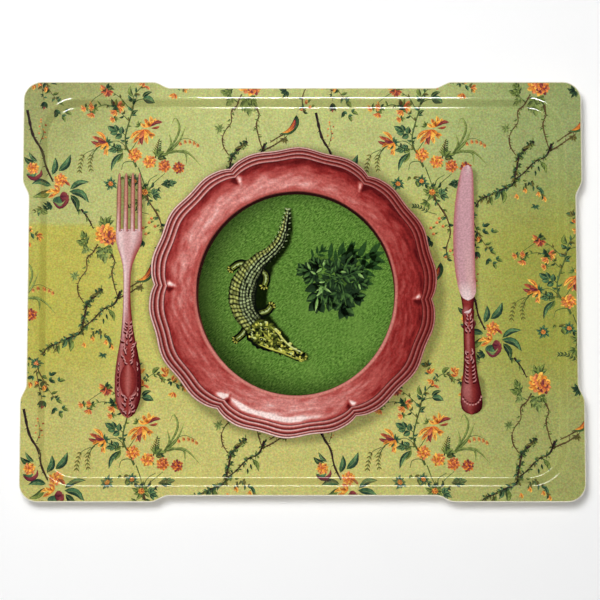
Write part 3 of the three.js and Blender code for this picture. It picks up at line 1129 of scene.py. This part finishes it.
def drawPlate():
    bm = newInk()
    columns = plate["columns"]
    height = inkLift + plate["level"] * levelStep

    def pointAt(column, row):
        angle = 360 * column / columns
        direction = (math.cos(math.radians(angle)), math.sin(math.radians(angle)))
        narrow = 0.68 + 0.07 * max(0.0, direction[1])
        share = plateRows[row]
        share = share * narrow / 0.66 if share <= 0.66 else 1 - (1 - share) * (1 - narrow) / 0.34
        outer = plateOutline(angle)
        ends = [(plate["lawnCentre"][axis] + direction[axis] * plate["lawnRadius"][axis],
                 plate["centre"][axis] + direction[axis] * outer) for axis in (0, 1)]
        x, y = (inner + (edge - inner) * share for inner, edge in ends)
        return x, y, height

    def tintAt(column, row):
        return plateColour(360 * column / columns, plateRows[row])

    gridSurface(bm, columns, len(plateRows) - 1, pointAt, tintAt)
    bmesh.ops.remove_doubles(bm, verts=bm.verts, dist=1e-7)
    addPrint("printed_plate", bm, inkMaterial("plate ink", 0.12, 400.0, False))


drawPlate()
print("plate drawn")

silver = {
    "pale": linear(226, 200, 198),
    "face": linear(206, 162, 160),
    "mid": linear(172, 100, 96),
    "red": linear(140, 52, 48),
    "deep": linear(104, 30, 32),
    "dark": linear(58, 14, 18),
}
forkPlan = {  # its place, and its own lengths in millimetres
    "x": -143.2 * mm,
    "top": 98.6 * mm,
    "tineLength": 49.0,
    "tineWidth": 1.85,
    "tinePitch": 5.9,
    # distance below the tips, shift of the middle, half width
    "profile": ((47, 0, 10.9), (52, 0, 11.0), (58, -0.1, 10.4), (64, -0.4, 8.6), (70, -0.8, 6.2),
                (76, -1.1, 4.2), (84, -1.4, 3.1), (98, -1.5, 2.8), (112, -1.3, 3.3), (126, -1.0, 4.4),
                (138, -0.5, 6.0), (150, -0.2, 8.4), (160, 0, 10.1), (170, 0, 10.9), (180, 0, 11.0),
                (188, 0, 10.2), (194, 0, 8.2), (199, 0, 5.6), (201.8, 0, 3.0), (202.8, 0, 0.6)),
}
knifePlan = {
    "x": 136.6 * mm,
    "top": 105.0 * mm,
    # distance below the tip, left edge, right edge
    "blade": ((0, -0.4, 0.9), (0.8, -2.2, 2.6), (2.5, -4.0, 3.9), (6, -5.6, 4.6), (12, -7.0, 5.0),
              (22, -8.9, 5.2), (34, -10.6, 5.3), (48, -11.7, 5.4), (62, -12.1, 5.5), (76, -11.8, 5.7),
              (90, -10.4, 6.1), (100, -8.6, 6.4), (106, -7.0, 6.4), (110, -5.0, 4.8),
              (112, -2.0, 2.0), (112.6, -0.4, 0.4)),
    "handle": ((105.6, -6.8, 6.2), (108, -6.4, 5.4), (112, -5.6, 4.9), (116, -5.0, 4.5),
               (119, -4.6, 4.3), (121, -5.3, 5.0), (123, -5.2, 4.9), (126, -4.5, 4.6),
               (136, -4.2, 5.0), (148, -4.0, 5.4), (160, -4.0, 6.0), (170, -4.6, 7.2),
               (180, -6.0, 9.0), (188, -6.8, 10.6), (194, -6.9, 11.3), (199, -6.0, 10.6),
               (202, -3.4, 8.2), (203.4, 0.6, 4.4), (203.8, 2.0, 2.8)),
}


def profileAt(profile, distance):
    # values of a profile at a distance along it
    for low, high in zip(profile, profile[1:]):
        if distance <= high[0]:
            share = min(max((distance - low[0]) / (high[0] - low[0]), 0.0), 1.0)
            return [a + (b - a) * share for a, b in zip(low[1:], high[1:])]
    return list(profile[-1][1:])


def acrossTone(tones, share):
    # colour across a piece of flatware, from its left edge to its right edge
    place = share * (len(tones) - 1)
    index = min(int(place), len(tones) - 2)
    return mixed(tones[index], tones[index + 1], place - index)


def flatware(bm, plan, start, end, edgesAt, tonesAt, level, rows=60, columns=12):
    # a long tapering shape, toned across its width
    def pointAt(column, row):
        down = start + (end - start) * row / rows
        left, right = edgesAt(down)
        across = left + (right - left) * column / columns
        return plan["x"] + across * mm, plan["top"] - down * mm, inkLift + level * levelStep

    def tintAt(column, row):
        down = start + (end - start) * row / rows
        return acrossTone(tonesAt(down), column / columns)

    gridSurface(bm, columns, rows, pointAt, tintAt)


def smoothTones(down, stops):
    for (low, first), (high, second) in zip(stops, stops[1:]):
        if down <= high:
            share = min(max((down - low) / (high - low), 0.0), 1.0)
            return [mixed(a, b, share) for a, b in zip(first, second)]
    return stops[-1][1]


def scroll(bm, plan, x, down, turn, length, width, tones, level):
    # one curled leaf of the handle's ornament
    start = (x, -down)
    middle = towards(*start, turn, length * 0.55)
    end = towards(*middle, turn + (50 if math.cos(math.radians(turn)) > 0 else -50), length * 0.5)
    centre = (plan["x"] / mm, plan["top"] / mm)
    stroke(bm, (start, middle, end), pointed(width), tones, level, 5, centre)


reliefTones = (linear(218, 168, 164), silver["mid"], silver["red"])
hollowTones = (silver["dark"], silver["deep"], silver["dark"])


def curls(bm, plan, middle, start, end, reach, count, size, seed):
    # pairs of curling leaves over dark hollows, along a stretch of handle
    chance = random.Random(seed)
    for step in range(count):
        down = start + (end - start) * (step + 0.5) / count
        for side in (-1, 1):
            x = middle + side * reach * chance.uniform(0.05, 0.5)
            turn = 90 - side * chance.uniform(5, 85)
            length = size * chance.uniform(0.7, 1.2)
            scroll(bm, plan, x, down + 1.4, turn, length, 1.0, hollowTones, 30)
            scroll(bm, plan, x, down, turn, length, 0.6, reliefTones, 32)


def drawFork():
    bm = newInk()
    pale, face, mid, red, deep, dark = silver.values()
    tineTop = [linear(112, 70, 48), linear(176, 120, 100), linear(196, 140, 122), linear(168, 100, 84),
               linear(112, 60, 48)]
    tineFoot = [red, pale, face, mid, red]

    for index in range(4):
        middle = (index - 1.5) * forkPlan["tinePitch"]

        def tineEdges(down):
            slim = forkPlan["tineWidth"] * min(1.0, 0.5 + down / 30) * min(1.0, (down + 0.2) / 2.4) ** 0.5
            shift = middle * (0.94 + 0.06 * down / 50)
            return shift - slim, shift + slim

        flatware(bm, forkPlan, 0, forkPlan["tineLength"], tineEdges,
                 lambda down: smoothTones(down, ((0, tineTop), (26, tineTop), (49, tineFoot))), 28, 24, 6)
    stops = ((47, [face, pale, face, face, pale, face, mid]), (66, [mid, pale, face, face, face, mid, red]),
             (84, [mid, pale, pale, face, face, mid, red]), (110, [red, pale, face, face, mid, red, deep]),
             (128, [deep, face, mid, red, mid, red, dark]), (150, [deep, mid, red, red, red, deep, dark]),
             (202, [deep, mid, red, red, mid, deep, dark]))

    def bodyEdges(down):
        shift, half = profileAt(forkPlan["profile"], down)
        return shift - half, shift + half

    flatware(bm, forkPlan, 47, 202.8, bodyEdges, lambda down: smoothTones(down, stops), 27, 110, 14)
    for slot in range(3):  # the tines part in rounded notches
        x = (slot - 1) * forkPlan["tinePitch"]
        scroll(bm, forkPlan, x - 0.9, 47.6, -35, 1.4, 0.35, hollowTones, 30)
    curls(bm, forkPlan, 0, 124, 136, 3.4, 5, 4.2, 3)
    curls(bm, forkPlan, 0, 136, 160, 6.0, 9, 5.2, 4)
    curls(bm, forkPlan, 0, 184, 201, 6.0, 8, 5.0, 5)
    for side in (-1, 1):  # leaves down both sides of the plain oval
        for step in range(7):
            down = 160 + step * 4.2
            half = profileAt(forkPlan["profile"], down)[1]
            scroll(bm, forkPlan, side * half * 0.72, down + 1, 90 - side * 12, 4.2, 0.9, hollowTones, 30)
            if step not in (2, 3, 4):
                scroll(bm, forkPlan, side * half * 0.72, down, 90 - side * 12, 3.8, 0.5, reliefTones, 31)
    oval = [silver["deep"], silver["red"], linear(176, 96, 90), silver["red"], silver["deep"]]

    def ovalEdges(down):
        half = 6.8 * math.sqrt(max(0.0, 1 - ((down - 172) / 13.2) ** 2)) + 0.02
        return -half, half

    flatware(bm, forkPlan, 158.8, 185.2, ovalEdges, lambda down: oval, 34, 24, 8)
    addPrint("printed_fork", bm, inkMaterial("fork ink", 0.07, 300.0, False))


def drawKnife():
    bm = newInk()
    pale, face, mid, red, deep, dark = silver.values()
    blade = linear(198, 152, 158)
    shade = linear(186, 138, 146)
    stops = ((0, [face, blade, blade, pale, blade, mid]), (10, [mid, blade, blade, blade, blade, mid]),
             (60, [mid, shade, blade, blade, blade, mid]), (96, [mid, blade, blade, face, face, mid]),
             (106, [face, pale, pale, pale, face, face]), (113, [pale, pale, pale, pale, pale, face]))
    handleStops = ((105, [dark, deep, deep, deep, deep, dark]), (117, [dark, red, red, red, deep, dark]),
                   (121, [deep, mid, mid, red, deep, dark]), (125, [dark, red, red, red, deep, dark]),
                   (146, [dark, red, mid, red, deep, dark]), (168, [dark, deep, red, deep, deep, dark]),
                   (186, [deep, mid, mid, red, deep, dark]), (206, [dark, deep, red, deep, dark, dark]))
    flatware(bm, knifePlan, 105.6, 206.4, lambda down: profileAt(knifePlan["handle"], down * 0.973 + 2.85),
             lambda down: smoothTones(down, handleStops), 27, 80, 12)
    flatware(bm, knifePlan, 0, 112.6, lambda down: profileAt(knifePlan["blade"], down),
             lambda down: smoothTones(down, stops), 29, 110, 14)
    curls(bm, knifePlan, 0.6, 125, 140, 4.2, 6, 4.4, 7)
    curls(bm, knifePlan, 1.0, 154, 166, 5.0, 5, 4.6, 8)
    for step in range(5):  # chevrons above the foot
        down = 168 + step * 3.0
        left, right = profileAt(knifePlan["handle"], down)
        middle, half = (left + right) / 2, (right - left) / 2
        for side in (-1, 1):
            scroll(bm, knifePlan, middle + side * half * 0.15, down + 1.4, 90 - side * 68, half * 0.8,
                   0.8, hollowTones, 30)
            scroll(bm, knifePlan, middle + side * half * 0.2, down, 90 - side * 64, half * 0.7,
                   0.5, reliefTones, 31)
    scroll(bm, knifePlan, -3.6, 122.4, 4, 7.4, 1.3, (silver["pale"], silver["pale"], silver["red"]), 33)
    for step in range(9):  # beads round the foot
        turn = -160 + step * 17.5
        x, down = 2.3 + 8.0 * math.cos(math.radians(turn)), 190 - 8.6 * math.sin(math.radians(turn))
        scroll(bm, knifePlan, x, down, turn + 90, 2.4, 0.7, reliefTones, 31)
        scroll(bm, knifePlan, x * 0.9, down - 1.6, turn + 90, 2.2, 0.5, hollowTones, 30)
    addPrint("printed_knife", bm, inkMaterial("knife ink", 0.07, 300.0, False))


drawFork()
drawKnife()
print("flatware drawn")

reptile = {
    # down the back from the tip of the tail to the neck: place, half width
    "spine": ((-12.1, 68.3), (-13.2, 60), (-15.3, 50), (-19.5, 40), (-26.5, 32), (-35.7, 24.7), (-43, 15.6),
              (-48.2, 4.8), (-49.6, -6), (-47.4, -16), (-42.4, -24), (-36.5, -30.5)),
    "widths": (0.6, 2.2, 3.3, 4.4, 5.2, 7.0, 9.6, 11.4, 11.4, 10.4, 9.4, 9.0),
    # and on along the head to the snout
    "head": ((-41.5, -27.5), (-36.6, -32.4), (-31, -36.4), (-25, -40.4), (-19, -44.4), (-13, -48),
             (-7.4, -51.2), (-2.6, -53.2), (0.4, -54.0)),
    "headWidths": (8.6, 11.6, 12.4, 10.4, 7.2, 5.4, 4.6, 4.8, 2.6),
    # each limb's course and half width
    "limbs": ((((-44, 19), (-49, 23), (-54, 22), (-58.4, 18.6)), 2.9),
              (((-38, 17), (-31.5, 15), (-30, 10), (-31.6, 5)), 3.2),
              (((-42, -22), (-46.5, -31), (-50, -36), (-54.4, -39.6)), 2.9),
              (((-40, -20), (-34, -18), (-29, -16.4), (-26, -12.6)), 3.2)),
    "rows": 170,
    "columns": 24,
    "scuteLength": 3.0,
    "scuteWidth": 2.7,
}
hide = {
    "dark": linear(9, 14, 9),
    "flank": linear(48, 60, 26),
    "skin": linear(122, 134, 50),
    "scute": linear(212, 228, 170),
    "glow": linear(222, 218, 96),
}


def along(spine, widths, share):
    # place, direction and half width at a share of a spine
    point, slope = curvePoint(spine, share)
    place = share * (len(widths) - 1)
    index = min(int(place), len(widths) - 2)
    return point, slope, widths[index] + (widths[index + 1] - widths[index]) * smoothStep(place - index)


def spineAt(share):
    return along(reptile["spine"], reptile["widths"], share)


def headAt(share):
    return along(reptile["head"], reptile["headWidths"], share)


def ribbon(bm, placeAt, rows, columns, ruffle, level, tintAt):
    def pointAt(column, row):
        point, slope, width = placeAt(row / rows)
        across = (column / columns * 2 - 1) * width * (1 + ruffle * math.sin(row * 1.9))
        return ((point[0] - slope[1] * across) * mm, (point[1] + slope[0] * across) * mm,
                inkLift + level * levelStep)

    gridSurface(bm, columns, rows, pointAt, tintAt)


def drawLimb(bm, points, width):
    # a stout dark limb, lit along its top, ending in stubby toes with pale claws
    dark, flank, skin, scute, glow = hide.values()
    foot, slope = curvePoint(points, 1.0)
    heading = headingOf(slope)
    stroke(bm, points, tapered(width * 1.3, width * 1.1), (dark,) * 3, 29, 8)
    for turn in (-66, -24, 18, 58):
        tip = towards(*foot, heading + turn, width * 1.25)
        stroke(bm, (foot, tip), tapered(width * 0.62, width * 0.4), (dark,) * 3, 30, 4)
        start = towards(*foot, heading + turn, width * 0.35)
        stroke(bm, (start, tip), rounded(width * 0.24), (flank, glow, dark), 32, 4)
    stroke(bm, points, tapered(width * 0.72, width * 0.62), (dark, skin, dark), 31, 8)
    stroke(bm, points, pointed(width * 0.3), (skin, scute, skin), 32, 8)
    for step in range(5):
        place = curvePoint(points, 0.15 + step * 0.19)[0]
        stroke(bm, (place, towards(*place, heading + 80, width * 0.7)), pointed(0.4), (dark,) * 3, 33, 3)


def drawBody(bm):
    dark, flank, skin, scute, glow = hide.values()
    rows, columns = reptile["rows"], reptile["columns"]
    chance = random.Random(7)
    speckle = [[chance.random() for _ in range(columns + 1)] for _ in range(rows + 1)]
    travelled = [0.0]
    for row in range(rows):
        travelled.append(travelled[-1] + (spineAt((row + 1) / rows)[0] - spineAt(row / rows)[0]).length)

    def tintAt(column, row):
        # scutes with dark gaps; keeled rows run down the back, softer ones over the lit flank
        width = spineAt(row / rows)[2]
        side = (1 - column / columns * 2) * width
        spots = speckle[row][column]
        wobble = noise.noise(Vector((travelled[row] / 5, side / 4, 2.0)))
        down = travelled[row] + 0.22 * abs(side) + 0.9 * wobble
        across = side + width * 0.12 + 0.8 * wobble
        gapDown = 0.5 + 0.5 * math.cos(2 * math.pi * down / reptile["scuteLength"])
        gapAcross = 0.5 + 0.5 * math.cos(2 * math.pi * across / reptile["scuteWidth"])
        if side < width * 0.3:
            keel = smoothStep((gapAcross - 0.3) / 0.6) * (0.12 + 0.88 * smoothStep(gapDown * 1.3))
            tone = mixed(dark, mixed(skin, scute, 0.35 + 0.65 * spots), keel)
            tone = mixed(tone, dark, smoothStep((-side / width - 0.5) / 0.4))
        else:
            tone = mixed(skin, glow, spots * 0.8)
            tone = mixed(tone, scute, 0.35 * gapAcross)
            tone = mixed(tone, dark, 0.95 * smoothStep((0.62 - gapDown) / 0.5))
            tone = mixed(tone, dark, 0.8 * smoothStep((0.45 - gapAcross) / 0.4))
            tone = mixed(tone, dark, smoothStep((side / width - 0.8) / 0.2))
        return mixed(tone, dark, 0.9 * noise.noise(Vector((travelled[row] / 3, side / 2.6, 6.0))))

    ribbon(bm, spineAt, rows, columns, 0.03, 33, tintAt)
    for step in range(46):  # spikes down both edges of the tail and fewer along the flanks
        point, slope, width = spineAt(0.004 + step * 0.02)
        side = leftOf(slope)
        for edge in (-1, 1):
            start = point + side * edge * width * 0.85
            tip = start + side * edge * (2.4 if step < 16 else 1.2) - slope * 1.3
            tones = (dark, flank, dark) if step % 2 else (scute, flank, dark)
            stroke(bm, (start, tip), tapered(0.7, 0.15), tones, 32, 2)


def drawHead(bm):
    dark, flank, skin, scute, glow = hide.values()
    chance = random.Random(23)
    ribbon(bm, headAt, 40, 12, 0.05, 34,
           lambda column, row: dark if column in (0, 1, 12) else mixed(dark, skin, chance.random() ** 1.5))
    snout = headAt(1.0)[0]
    for turn in range(8):  # its rounded end
        tip = towards(*snout, turn * 45, 3.6)
        stroke(bm, (snout, tip), rounded(1.8), (skin, glow, dark), 34, 4)
    for step in range(150):  # knobbly skin: bright and dark flakes that follow the jaws
        share = chance.random() * 0.95
        point, slope, width = headAt(share)
        side = leftOf(slope)
        start = point + side * chance.uniform(-0.78, 0.82) * width
        turn = chance.uniform(-0.7, 0.7)
        tip = start + (slope + side * turn) * chance.uniform(1.8, 4.2)
        tone = ((glow, skin, dark), (dark, dark, dark), (glow, glow, flank), (dark, dark, flank),
                (scute, glow, flank))[step % 5]
        stroke(bm, (start, tip), rounded(chance.uniform(0.7, 1.5)), tone, 35 + step % 3, 3)
    for edge in (-1, 1):  # jaw lines
        line = [point + leftOf(slope) * edge * width * 0.72
                for point, slope, width in map(headAt, (0.24, 0.4, 0.55, 0.7, 0.85, 0.95))]
        stroke(bm, line, pointed(0.75), (glow, scute if edge > 0 else skin, dark), 38, 10)
    for share, offset, size in ((0.24, -0.34, 2.3), (0.22, 0.42, 2.0)):  # brows and eyes
        point, slope, width = headAt(share)
        spot = point + leftOf(slope) * offset * width
        for back, ahead, bulge, tones, level, steps in (
                (size, size, 0.8, (glow, skin, dark), 38, 6),
                (size * 0.7, size * 0.8, 0.52, (dark,) * 3, 39, 5), (0.3, 0.5, 0.18, (scute,) * 3, 40, 3)):
            ends = (spot - slope * back, spot + slope * ahead)
            stroke(bm, ends, rounded(size * bulge), tones, level, steps)
    point, slope, width = headAt(0.93)
    for offset in (-1.6, 1.6):  # nostrils
        spot = point + leftOf(slope) * offset
        stroke(bm, (spot, spot + slope * 1.5), rounded(0.65), (dark,) * 3, 39, 4)


def drawReptile():
    bm = newInk()
    for points, width in reptile["limbs"]:
        drawLimb(bm, points, width)
    drawBody(bm)
    drawHead(bm)
    addPrint("printed_reptile", bm, inkMaterial("reptile ink", 0.2, 700.0, False))


herb = {
    # where each lobed leaf springs from, its heading and its length
    "leaves": ((14, 15.6, 172, 20), (13, 14, 205, 14), (14, 7, 264, 26), (18, 5, 294, 23),
               (32, 1, 281, 25), (33, 2, 330, 21), (31, 5, 252, 17), (25, 15.6, 118, 13),
               (29, 17, 40, 20), (32, 14, 8, 21), (24, 11, 214, 17), (41, 8.4, 348, 15),
               (18, 19, 150, 15), (26, 12, 300, 14), (22, 13, 20, 15), (36, 9, 60, 15), (20, 9, 240, 13)),
    "shadows": ((20, 25, 20, 30), (34, 24, 14, 36), (40, 14, 24, 28), (8, 27, 40, 16), (36, 2, 24, 24),
                (26, 22, 30, 24)),
    "stalks": (((44, 16), (34, 12), (26, 12), (14, 15)), ((30, 12), (33, 2), (36, -12)),
               ((26, 12), (18, 4), (15, -10))),
    "blacks": (linear(24, 40, 24), linear(44, 68, 38), linear(16, 26, 20)),
    "greens": (linear(44, 72, 38), linear(92, 130, 64), linear(28, 46, 28)),
    "lights": (linear(104, 150, 70), linear(176, 208, 128), linear(60, 96, 46)),
    "shade": (linear(38, 66, 32), linear(46, 78, 36), linear(36, 62, 30)),
}


def drawHerbLeaf(bm, x, y, heading, size, tones, level, chance=None):
    # broad lobes along one rib, and lit facets on some of them
    lobes = [(0.08, 62), (0.08, -62), (0.34, 50), (0.34, -50), (0.6, 36), (0.6, -36), (0.4, 0)]
    for share, turn in lobes:
        start = towards(x, y, heading, size * share)
        reach = size * (0.52 - 0.16 * share) if turn else size * 0.6
        tip = towards(*start, heading + turn, reach)
        stroke(bm, (start, tip), pointed(size * (0.15 if chance else 0.075)), tones, level, 4)
        if chance and chance.random() < 0.55:
            lit = herb["lights" if chance.random() < 0.16 else "greens"]
            veer = chance.uniform(-14, 14)
            stroke(bm, (towards(*start, heading + turn + veer, reach * 0.1),
                        towards(*start, heading + turn + veer, reach * 0.9)),
                   pointed(size * chance.uniform(0.04, 0.08)), lit, level + 4, 3)


def drawHerb():
    bm = newInk()
    chance = random.Random(19)
    for x, y, heading, size in herb["shadows"]:
        drawHerbLeaf(bm, x, y, heading, size, herb["shade"], 27)
    for index, (x, y, heading, size) in enumerate(herb["leaves"]):
        drawHerbLeaf(bm, x, y, heading, size, herb["blacks"], 28 + index % 4, chance)
    for spine in herb["stalks"]:
        stroke(bm, spine, tapered(0.5, 0.25), herb["greens"], 37, 10)
    addPrint("printed_herb_sprig", bm, inkMaterial("herb ink", 0.3, 500.0, False))


drawReptile()
drawHerb()
print("reptile and sprig drawn")

# what casts shade on the grass
reptileBody = [spineAt(step / 60) for step in range(61)]
for step in range(21):
    point, slope, width = headAt(step / 20)
    reptileBody.append((point, slope, width * 0.7))
herbBody = [towards(x, y, heading, size * 0.5) for x, y, heading, size in herb["leaves"]]


def lawnShade(x, y):
    # shade on the grass, cast to the right by the reptile and to the upper right by the sprig
    nearest = min(math.hypot(x - point[0] - 0.85 * width - 0.8, y - point[1] + 0.6) - width * 0.8
                  for point, _, width in reptileBody)
    dark = 0.95 * (1 - smoothStep(nearest / 2.4))
    nearest = min(math.hypot(x - px - 3, y - py - 2) for px, py in herbBody)
    return 1 - max(dark, 0.5 * (1 - smoothStep((nearest - 2) / 7)))


def lawnMaterial():
    # close-cut grass: fine blades of several greens, darker under the rim at the upper left
    material, shader, root = newMaterial("lawn ink")
    place = root.place()
    lean = root.node("ShaderNodeMapping", {"vector_type": "TEXTURE"},
                     {"Vector": place, "Rotation": (0, 0, math.radians(38)), "Scale": (1.7, 0.62, 1.0)})
    blades = root.noise(640.0, 3.0, 0.75, lean)
    tufts = root.noise(260.0, 3.0, 0.65)
    patches = root.noise(30.0, 2.0, 0.5)
    colour = root.blend(linear(50, 84, 30), linear(128, 170, 74), blades.ramp(0.36, 0.66))
    colour = root.blend(colour, linear(72, 118, 38), tufts.ramp(0.4, 0.7, 0.0, 0.5))
    colour = root.blend(colour, linear(112, 148, 66), patches.ramp(0.45, 0.75, 0.0, 0.4))
    x, y = place.planAxes()
    fromX = x - (plate["lawnCentre"][0] + 9 * mm)
    fromY = y - (plate["lawnCentre"][1] + 3 * mm)
    rimShade = (fromX * fromX + fromY * fromY).sqrt().ramp(64 * mm, 93 * mm, 1.0, 0.22)
    fall = y.ramp(-80 * mm, 60 * mm, 1.0, 0.95) * x.ramp(-80 * mm, 20 * mm, 0.84, 1.0)
    tint = root.node("ShaderNodeVertexColor", {"layer_name": "tint"})
    colour = colour.scaled(rimShade * fall)
    colour = root.blend(colour, tint, 1.0, "MULTIPLY")
    colour.feed(shader, "Base Color")
    glossInk(shader, root)
    return material


def drawLawn():
    bm = newInk()
    rings, columns = 56, 180

    def pointAt(column, row):
        angle = math.radians(360 * column / columns)
        share = row / rings
        return (plate["lawnCentre"][0] + math.cos(angle) * share * (plate["lawnRadius"][0] + 0.6 * mm),
                plate["lawnCentre"][1] + math.sin(angle) * share * (plate["lawnRadius"][1] + 0.6 * mm),
                inkLift + (plate["level"] - 3) * levelStep)

    def tintAt(column, row):
        x, y, _ = pointAt(column, row)
        shade = lawnShade(x / mm, y / mm)
        return shade, shade, shade, 1.0

    gridSurface(bm, columns, rings, pointAt, tintAt)
    bmesh.ops.remove_doubles(bm, verts=bm.verts, dist=1e-6)
    addPrint("printed_lawn", bm, lawnMaterial())


drawLawn()
print("lawn drawn")


studio = {
    "floorWhite": 0.95,
    "worldStrength": 0.2,
    "cameraDistance": 1.5,
    "cameraElevation": 85.3,
    "cameraLens": 110.1,
    "aim": (-2.0 * mm, -8.2 * mm, 15 * mm),
}
# place, size, power, and whether it lights surfaces, shows in the gloss and casts shadows
lamps = {
    "key softbox": ((-0.34, 0.43, 1.5), (0.6, 0.6), 20.3, True, False, True),
    "front fill": ((-0.3, -2.4, 0.3), (0.5, 0.5), 23.0, True, False, False),
    "right fill": ((2.4, 0.0, 0.3), (0.5, 0.5), 24.0, True, False, False),
    "left fill": ((-2.4, 0.0, 0.3), (0.5, 0.5), 15.0, True, False, False),
    "front glint": ((0.045, -0.66, 1.5), (0.46, 0.34), 42.0, False, True, False),
    "back glint": ((-0.02, 0.72, 1.5), (0.75, 0.34), 20.0, False, True, False),
}


def addLamp(name, place, sizes, power, lights, shines, shadows):
    lamp = bpy.data.lights.new(name, "AREA")
    lamp.shape = "RECTANGLE"
    lamp.size, lamp.size_y = sizes
    lamp.energy = power
    lamp.use_shadow = shadows
    holder = bpy.data.objects.new(name, lamp)
    holder.location = place
    holder.rotation_euler = (-Vector(place)).to_track_quat("-Z", "Y").to_euler()
    holder.visible_diffuse = lights
    holder.visible_glossy = shines
    holder.visible_camera = False
    bpy.context.scene.collection.objects.link(holder)


def buildStudio():
    scene = bpy.context.scene
    scene.view_settings.view_transform = "Standard"
    bm = bmesh.new()
    bmesh.ops.create_grid(bm, x_segments=1, y_segments=1, size=4.0)
    mesh = bpy.data.meshes.new("studio_floor")
    bm.to_mesh(mesh)
    bm.free()
    material, shader, _ = newMaterial("white floor")
    white = studio["floorWhite"]
    shader.inputs["Base Color"].default_value = (white, white, white, 1)
    shader.inputs["Roughness"].default_value = 0.9
    shader.inputs["Specular IOR Level"].default_value = 0.0
    mesh.materials.append(material)
    floor = bpy.data.objects.new("studio_floor", mesh)
    scene.collection.objects.link(floor)

    world = bpy.data.worlds.new("soft white room")
    world.use_nodes = True
    backdrop = world.node_tree.nodes["Background"].inputs
    backdrop["Strength"].default_value = studio["worldStrength"]
    backdrop["Color"].default_value = (1, 1, 1, 1)
    world.cycles_visibility.glossy = False
    scene.world = world

    for name, values in lamps.items():
        addLamp(name, *values)

    elevation = math.radians(studio["cameraElevation"])
    aim = Vector(studio["aim"])
    away = Vector((0, -math.cos(elevation), math.sin(elevation)))
    camera = bpy.data.cameras.new("camera")
    camera.lens = studio["cameraLens"]
    camera.sensor_width = 36
    holder = bpy.data.objects.new("camera", camera)
    holder.location = aim + away * studio["cameraDistance"]
    holder.rotation_euler = (-away).to_track_quat("-Z", "Y").to_euler()
    scene.collection.objects.link(holder)
    scene.camera = holder


buildStudio()
print("studio lit")
